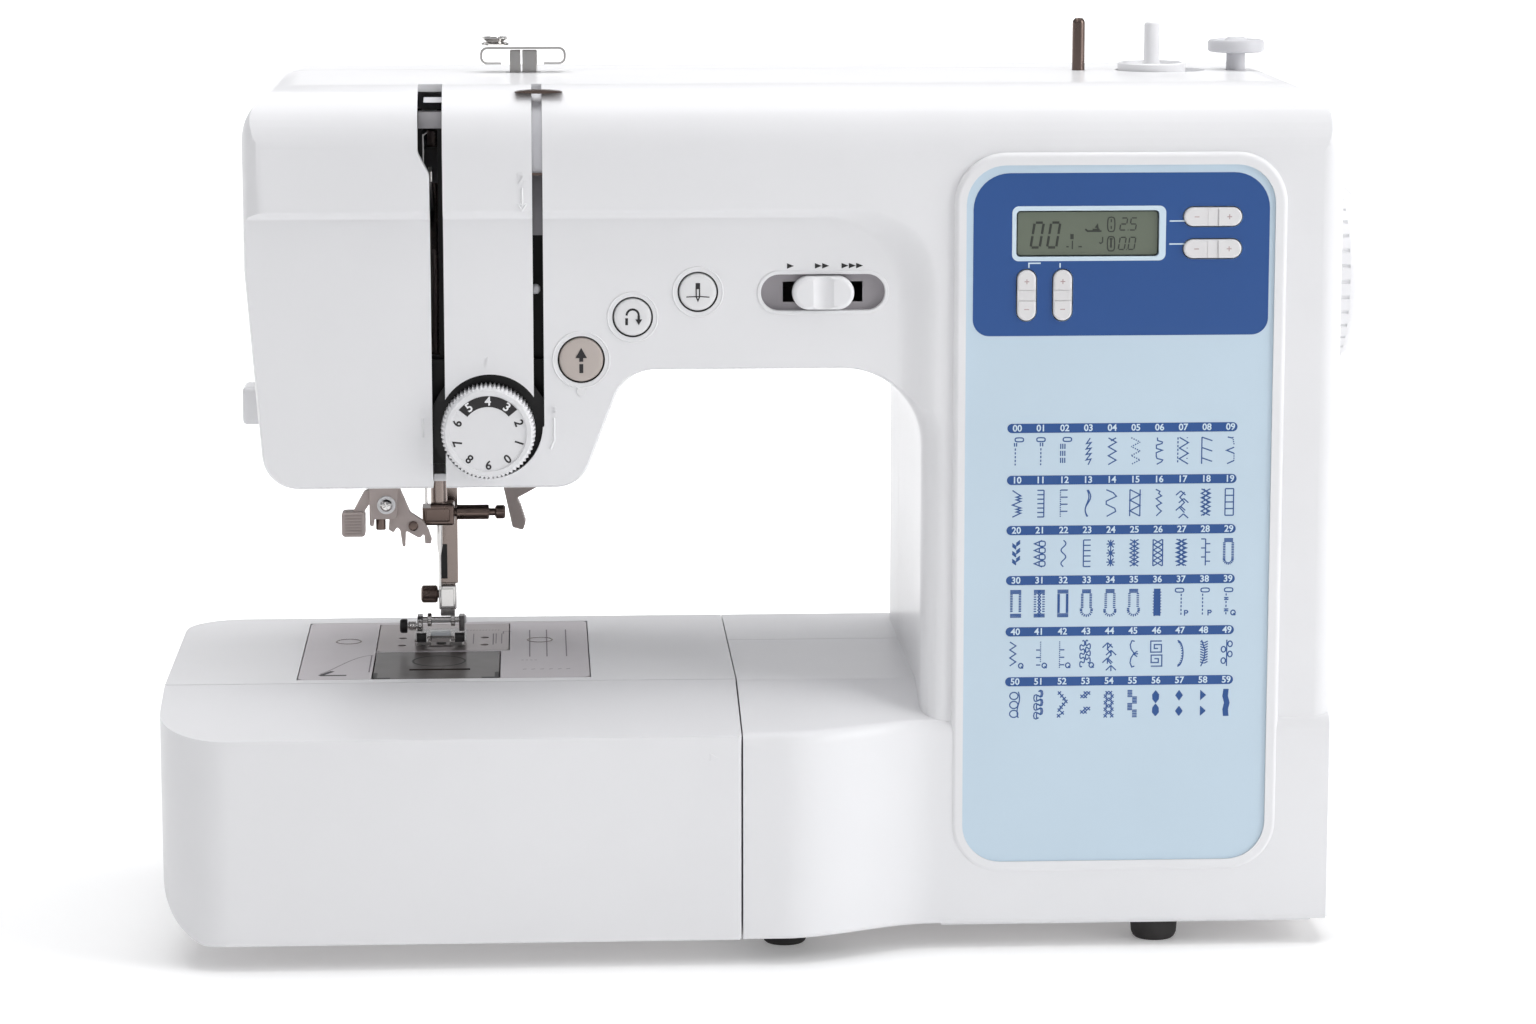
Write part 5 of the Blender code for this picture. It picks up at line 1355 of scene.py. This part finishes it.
pin = lathe([
    (0, 238), (2.2, 238), (2.2, 306.2), (2.0, 307.0), (1.4, 307.8), (0, 308),
], (107.3, 10, 0), (0, 0, 1), 32)
settle("spool_pin_rod", pin, bronze, "spool_pin", ["spool_pin"])
post = lathe([
    (0, 258), (3.0, 258), (3.0, 288.6), (11.0, 288.6), (11.6, 289.1), (11.7, 289.8),
    (11.7, 292.3), (11.3, 292.7), (10.4, 292.6), (10.2, 291.4), (9.4, 291.2), (3.4, 291.2),
    (3.0, 291.8), (2.8, 292.8), (2.75, 305.6), (2.4, 306.2), (1.8, 306.5), (0, 306.5),
], (132.7, 10, 0), (0, 0, 1), 56)
settle("winder_post", post, white_gloss, "winder_shaft", ["winder_shaft"])
stop = lathe([
    (0, 278), (3.3, 278), (3.3, 296.0), (8.9, 296.1), (9.6, 296.5), (9.8, 297.2), (9.8, 299.5),
    (9.3, 300.3), (8.4, 300.4), (7.9, 299.9), (4.2, 299.9), (3.6, 300.6), (3.0, 301.2),
    (0, 301.4),
], (162, 10, 0), (0, 0, 1), 56)
settle("winder_stop_disc", stop, slot_light, "chassis", ["winder_stop"])

# ---------------------------------------------------------------- needle bar
# A bronze-toned bar carries the needle in a clamp closed by a long thumb screw.

bar_metal = moulded("needle_bar_steel", tone(150, 138, 132), 0.24, 0.06, 0.006, 0.9,
                    Metallic=1.0)
rod = lathe([(0, 133.5), (2.3, 133.5), (2.9, 134.3), (2.9, 269.4), (2.4, 270), (0, 270)],
            (-114.8, 18, 0), (0, 0, 1), 40)
settle("needle_bar_rod", rod, bar_metal, "needle_bar", ["needle_bar"])
clamp = round_edges(block((-120.6, 12.8, 131.9), (-109.4, 22.8, 139.5)), 1.0, 4)
clamp = carve(clamp, block((-121, 12, 138.2), (-117.6, 24, 141)))
clamp = carve(clamp, round_edges(block((-119.2, 12.2, 133.3), (-111.0, 13.4, 137.9)), 0.5, 2))
clamp = carve(clamp, bar((-114.8, 18, 133), (-114.8, 18, 150), 3.1, 32))
settle("needle_clamp_block", clamp, bronze, "needle_bar", ["needle_clamp"])
screw = lathe([
    (0, 0), (1.5, 0), (1.5, 1.0), (2.55, 1.2), (2.6, 1.6), (2.6, 12.0), (2.4, 12.4),
    (1.3, 12.6), (1.3, 14.5), (1.9, 14.7), (2.4, 15.2), (2.4, 17.6), (1.9, 18.2), (0, 18.2),
], (-109.9, 18, 135.8), (1, 0, 0), 40)
for a in (0, 60, 120):
    turn = math.radians(a)
    way = Vector((0, math.cos(turn), math.sin(turn))) * 3.0
    at = Vector((0, 18, 135.8))
    screw = carve(screw, together(
        bar(at + way + Vector((-95.2, 0, 0)), at + way + Vector((-90, 0, 0)), 0.9, 12),
        bar(at - way + Vector((-95.2, 0, 0)), at - way + Vector((-90, 0, 0)), 0.9, 12),
    ))
settle("needle_clamp_thumb_screw", screw, bronze, "needle_bar",
       ["needle_clamp_screw"])
wire = bar((-119.2, 15.4, 139.2), (-119.2, 15.4, 165), 0.45, 12)
settle("needle_bar_wire", wire, chrome, "needle_bar")
needle = lathe([
    (0, 105), (0.12, 105.5), (0.4, 109), (0.42, 120.5), (0.95, 124), (1.0, 133), (0, 133),
], (-114.8, 18, 0), (0, 0, 1), 20)
needle = carve(needle, block((-115.1, 16, 108.2), (-114.5, 20, 109.4)))
settle("machine_needle", needle, chrome, "needle_bar", ["needle"])

# ---------------------------------------------------------------- presser bar and foot
# The presser bar carries a slotted guide plate and, at its end, a chromed ankle with a
# thumb screw. The zigzag foot snaps on below it: steel sole, black rollers and a black knob.

rod = lathe([(0, 108.6), (3.0, 108.6), (3.0, 249.5), (2.6, 250), (0, 250)],
            (-111.9, 30, 0), (0, 0, 1), 40)
plate = round_edges(block((-115.4, 26.6, 108.9), (-108.6, 28.4, 150)), 0.4, 2)
plate = carve(plate, round_edges(block((-115.0, 25, 110.6), (-112.3, 30, 123)), 0.3, 2))
settle("presser_bar_rod", together(rod), bar_metal, "presser_bar", ["presser_bar"])
settle("presser_bar_guide", plate, bar_metal, "presser_bar")
# A dark strip in the guide plate's slot: painted shade for the opening.
slit = block((-114.9, 27.0, 110.7), (-112.4, 27.5, 122.9))
settle("presser_bar_slit_painted_shade", slit, dark, "presser_bar")

ankle = round_edges(block((-115.5, 25.4, 99.6), (-109.2, 34.2, 108.4)), 0.7, 4)
ankle = carve(ankle, round_edges(block((-114.6, 24.6, 100.6), (-110.2, 25.8, 107.2)), 0.3, 2))
neck = round_edges(block((-115.0, 26.4, 97.1), (-109.8, 33.2, 100.2)), 0.5, 3)
ankle = carve(ankle, neck, "UNION")
ankle = carve(ankle, bar((-120, 30, 104.5), (-115.2, 30, 104.5), 1.8, 20))
settle("foot_ankle", ankle, chrome, "presser_bar", ["foot_holder"])
head = lathe([
    (0, 0), (2.2, 0), (2.9, 0.4), (3.1, 0.9), (3.1, 5.2), (2.8, 5.8), (1.4, 6.0), (1.4, 8.4),
    (0, 8.4),
], (-121.8, 30, 104.5), (1, 0, 0), 48)
flutes = []
for k in range(14):
    turn = math.tau * k / 14
    at = Vector((0, 30 + 3.25 * math.cos(turn), 104.5 + 3.25 * math.sin(turn)))
    flutes.append(bar(at + Vector((-123, 0, 0)), at + Vector((-116.6, 0, 0)), 0.34, 8))
settle("foot_thumb_screw", carve(head, together(*flutes)), bronze, "presser_bar",
       ["foot_screw"])

X0 = -114.8
sole = level(card((X0 - 9, 9), (X0 + 9, 34), 2.2, 6), 88.9, 91.2)
sole = carve(sole, level(card((X0 - 4.8, 15), (X0 + 4.8, 20.5), 1.2, 5), 80, 95))
sole = carve(sole, level(card((X0 - 3.2, 0), (X0 + 3.2, 17), 0.5, 3), 80, 95))
sole_front = [(4, 86), (14, 88.4), (14, 88.9), (9, 90.2), (4, 91)]
sole = carve(sole, sideways(sole_front, X0 - 20, X0 + 20))
sole = carve(sole, sideways([(28, 86), (38, 86), (38, 91), (30, 88.9)], X0 - 20, X0 + 20))
for side in (-1, 1):
    inner, outer = sorted((X0 + side * 6.4, X0 + side * 8.3))
    cheek = sideways(soft_outline([
        (18, 90, 0), (33, 90, 0), (33, 96, 2.2), (30, 97.4, 1), (26, 97.4, 1.2), (20, 93, 1),
    ], 4), inner, outer)
    sole = carve(sole, cheek, "UNION")
settle("foot_sole", sole, chrome, "presser_foot", ["presser_foot"])
pins = [
    lathe([(0, 0), (1.1, 0), (1.1, 14), (0, 14)], (X0 - 7, 28, 95.6), (1, 0, 0), 24),
    lathe([(0, 0), (0.9, 0), (0.9, 5.6), (0, 5.6)], (X0 - 12.2, 23, 94.4), (1, 0, 0), 20),
    lathe([(0.95, 0), (2.0, 0), (2.2, 0.2), (2.2, 1.0), (2.0, 1.2), (0.95, 1.2), (0.95, 0)],
          (X0 - 8.0, 23, 94.4), (1, 0, 0), 24),
    lathe([(0.95, 0), (2.2, 0), (2.4, 0.2), (2.4, 1.3), (2.2, 1.5), (0.95, 1.5), (0.95, 0)],
          (X0 - 4.8, 28, 95.6), (1, 0, 0), 24),
    lathe([(0.95, 0), (2.2, 0), (2.4, 0.2), (2.4, 1.3), (2.2, 1.5), (0.95, 1.5), (0.95, 0)],
          (X0 + 3.4, 28, 95.6), (1, 0, 0), 24),
]
settle("foot_pins", together(*pins), chrome, "presser_foot")
coil = bpy.data.curves.new("coil", "CURVE")
coil.dimensions = "3D"
coil.bevel_depth = 0.22
coil.bevel_resolution = 2
coil.use_fill_caps = True
spline = coil.splines.new("POLY")
spline.points.add(60)
for k, point in enumerate(spline.points):
    turn = math.tau * k / 12
    point.co = (X0 - 11.3 + 2.6 * k / 60, 23 + 1.5 * math.cos(turn), 94.4 + 1.5 * math.sin(turn), 1)
settle("foot_spring", from_curve(coil), chrome, "presser_foot")
button = lathe([(0, 0), (1.9, 0), (2.4, 0.4), (2.5, 0.9), (2.5, 2.2), (2.3, 2.6), (0, 2.7)],
               (X0 - 14.4, 23, 94.4), (1, 0, 0), 32)
rollers = [bar((X0 + s * 5.0, 15.0, 91.6), (X0 + s * 8.4, 15.0, 91.6), 1.8, 24) for s in (-1, 1)]
settle("foot_black_parts", together(button, *rollers), dark, "presser_foot")
clear = moulded("clear_plastic", tone(206, 210, 214), 0.12, 0.02, 0.002, Coat_Weight=0.3)
window = round_edges(block((X0 - 3.6, 21.5, 90.9), (X0 + 3.6, 26.4, 92.2)), 0.3, 2)
settle("foot_window", window, clear, "presser_foot")
peg = round_edges(block((X0 + 6.0, 27.0, 94.4), (X0 + 8.9, 29.4, 97.1)), 0.4, 3)
settle("foot_white_peg", peg, white_button, "presser_foot")

# ---------------------------------------------------------------- needle threader
# A grey plastic carriage on its own post, with a ribbed finger tab, a screw, and an arm that
# ends in the fine hook that draws thread through the needle's eye.

warm_grey = moulded("warm_grey_plastic", tone(178, 166, 162), 0.45, 0.03, 0.015)
tab = upright(card((-148.4, 129.4), (-140.2, 138.2), 1.3, 5), 5.5, 11.5)
round_edges(tab, 0.5, 3, rim(1, 5.5))
for k in range(7):
    v = 130.7 + 1.05 * k
    tab = carve(tab, block((-147.2, 5.0, v - 0.24), (-141.4, 5.95, v + 0.24)))
neck = upright(soft_outline([
    (-145, 137, 0.5), (-141, 137.5, 0.5), (-138.6, 141.0, 1), (-134.5, 142.2, 0.5),
    (-134.5, 147.0, 0.5), (-140.5, 145.2, 1.2),
], 4), 6.5, 10.5)
tab = carve(tab, neck, "UNION")
body = upright(soft_outline([
    (-138.7, 133.2, 0.8), (-137.2, 133.2, 0.4), (-137.2, 135.6, 0.4), (-129.2, 135.6, 1),
    (-128.6, 147.2, 0.6), (-138.7, 147.2, 1.4),
], 4), 5.1, 11.9)
round_edges(body, 0.4, 3, rim(1, 5.1))
tab = carve(tab, body, "UNION")
tab = carve(tab, round_edges(block((-138.0, 6.5, 146.6), (-127.5, 10.5, 156.8)), 0.4, 2), "UNION")
tab = carve(tab, block((-135.4, 6.5, 145), (-130.4, 10.5, 200)), "UNION")
settle("threader_carriage", tab, warm_grey, "needle_threader",
       ["needle_threader"])
guide = upright(soft_outline([
    (-131.6, 139.2, 0.6), (-132.2, 131.6, 0.5), (-130.6, 130.6, 0.4), (-129.2, 132.4, 0.3),
    (-128.2, 131.4, 0.3), (-127.4, 125.6, 0.2), (-126.5, 125.6, 0.2), (-126.2, 131.2, 0.4),
    (-121.4, 128.4, 1.2), (-119.9, 130.4, 0.4), (-119.6, 126.6, 0.2), (-117.6, 126.6, 0.3),
    (-117.3, 128.0, 0.2), (-118.4, 131.4, 0.4), (-120.2, 134.6, 0.6), (-124.6, 137.6, 1.0),
    (-128.5, 147.0, 0.8), (-131.6, 147.0, 0.4),
], 4), 7.2, 10.0)
round_edges(guide, 0.25, 2, rim(1, 7.2))
settle("threader_arm", guide, warm_grey, "needle_threader")
washer = lathe([(0, 0), (3.2, 0), (3.2, -0.6), (3.0, -0.8), (0, -0.8)], (-132.8, 5.1, 140.7),
               (0, 1, 0), 40)
settle("threader_washer", washer, white_button, "needle_threader")
head = lathe([(0, 0), (2.1, 0), (2.1, -0.6), (1.5, -1.3), (0, -1.5)], (-132.8, 4.3, 140.7),
             (0, 1, 0), 32)
for a in (20, 110):
    turn = math.radians(a)
    way = Vector((1.3 * math.cos(turn), 0, 1.3 * math.sin(turn)))
    side = Vector((-math.sin(turn), 0, math.cos(turn))) * 0.24
    centre = Vector((-132.8, 2.0, 140.7))
    slot = upright([(centre + s * way + t * side).xz for s, t in
                    ((-1, -1), (1, -1), (1, 1), (-1, 1))], 2.4, 3.5)
    head = carve(head, slot)
stub = bar((-134.9, 8.5, 131.6), (-134.9, 8.5, 135.9), 1.7, 24)
rivet = lathe([(0, 0), (1.7, 0), (1.7, -0.5), (1.2, -0.9), (0, -1.0)], (-123.6, 7.2, 132.9),
              (0, 1, 0), 32)
settle("threader_screw", head, chrome, "needle_threader")
settle("threader_fittings", together(stub, rivet), bronze, "needle_threader")
cap = bar((-145.4, 8.5, 155.6), (-140.4, 8.5, 155.6), 1.5, 20)
settle("threader_cap", cap, dark, "needle_threader")

# ---------------------------------------------------------------- presser foot lever
# A cranked grey lever behind the needle, with a ribbed grip, lifts the presser bar.

u0, v0 = -103.0, 165.0
lever = upright(soft_outline([(u0 + u, v0 + v, r) for u, v, r in (
    (-4, 4, 0.5), (-4, -6, 0.5), (-1, -13, 0.5), (6, -20, 0.5), (10.4, -25.5, 1),
    (13.6, -40.5, 0.8),
    (17.4, -41.6, 0.8), (18.4, -38.5, 0.5), (16.6, -32.6, 1.0),
    (15.2, -30, 0.8), (23.2, -25.7, 0.4), (23.2, -20, 0.5), (6, -11, 0.5), (4, -5, 0.5),
    (4, 4, 0.5),
)], 4), 51.5, 58.5)
round_edges(lever, 0.5, 3, rim(1, 51.5))
ribs = []
for k in range(7):
    t = k / 6
    at = (u0 + 18.7 - 2.0 * t, v0 - 38.8 + 6.4 * t)
    ribs.append(bar((at[0], 50.5, at[1]), (at[0], 60, at[1]), 0.55, 12))
lever = carve(lever, together(*ribs))
lever = carve(lever, bar((u0, 47, v0), (u0, 63, v0), 1.6, 24))
settle("foot_lifter", lever, warm_grey, "presser_foot_lever",
       ["presser_foot_lever"])

# ---------------------------------------------------------------- marks on the head
# Faint moulded figures and arrows beside the slots show the threading order.

raised = [("2", 5.2, -84.7, 260.6, 0), ("1", 4.2, -96.5, 199.8, 0), ("3", 3.6, -74.6, 183.6, 0),
          ("1", 3.6, -118.0, 183.6, 0)]
settle("threading_figures", facing(lettering(raised[:1], 0.7), FRONT - 0.02), white_gloss,
       "chassis", even=False)
settle("threading_figures_low", facing(lettering(raised[1:], 0.7), FIELD - 0.02), white_gloss,
       "chassis", even=False)
arrow = [[(-84.7, 257.6), (-84.7, 251.6)],
         [(-85.9, 252.2), (-84.7, 250.4), (-83.5, 252.2), (-85.9, 252.2)]]
settle("threading_arrow", facing(flat_lines(arrow, 0.8, 0.8), FRONT), white_gloss, "chassis")
arrow = [[(-74.8, 181.2), (-74.8, 174), (-76.0, 170.8)], [(-118.0, 181.2), (-118.0, 175.0)]]
settle("threading_arrow_low", facing(flat_lines(arrow, 0.9, 0.8), FIELD), white_gloss,
       "chassis")

# ---------------------------------------------------------------- right-hand side
# Low on the right the mains inlet takes a plug, and a black rocker switches the power.

switch = sideways(soft_outline([(-22, 100.2, 1.2), (-4, 100.2, 1.2), (-4, 125.8, 1.2),
                                (-22, 125.8, 1.2)], 5), 181, 188.6)
switch = carve(switch, bar((191.2, -30, 113), (191.2, 5, 113), 3.2, 40))
round_edges(switch, 0.3, 2, lambda m, e: m.x > 187.5)
settle("power_rocker", switch, dark, "power_switch", ["power_switch"])
signs = [[(0, -1.6), (0, 1.6)]]
bar_sign = flat_lines([[(-13 + u, 119.5 + v) for u, v in signs[0]]], 0.5, 0.1)
ring_sign = flat_lines([ring_of(-13, 106.5, 3.2, 3.2)], 0.5, 0.1)
both = together(bar_sign, ring_sign)
turn = Matrix.Rotation(math.radians(90), 4, "Z") @ Matrix.Rotation(math.radians(90), 4, "X")
bmesh.ops.transform(both, matrix=Matrix.Translation((188.62, 0, 0)) @ turn, verts=both.verts)
settle("power_rocker_signs", both, pale_print, "power_switch")
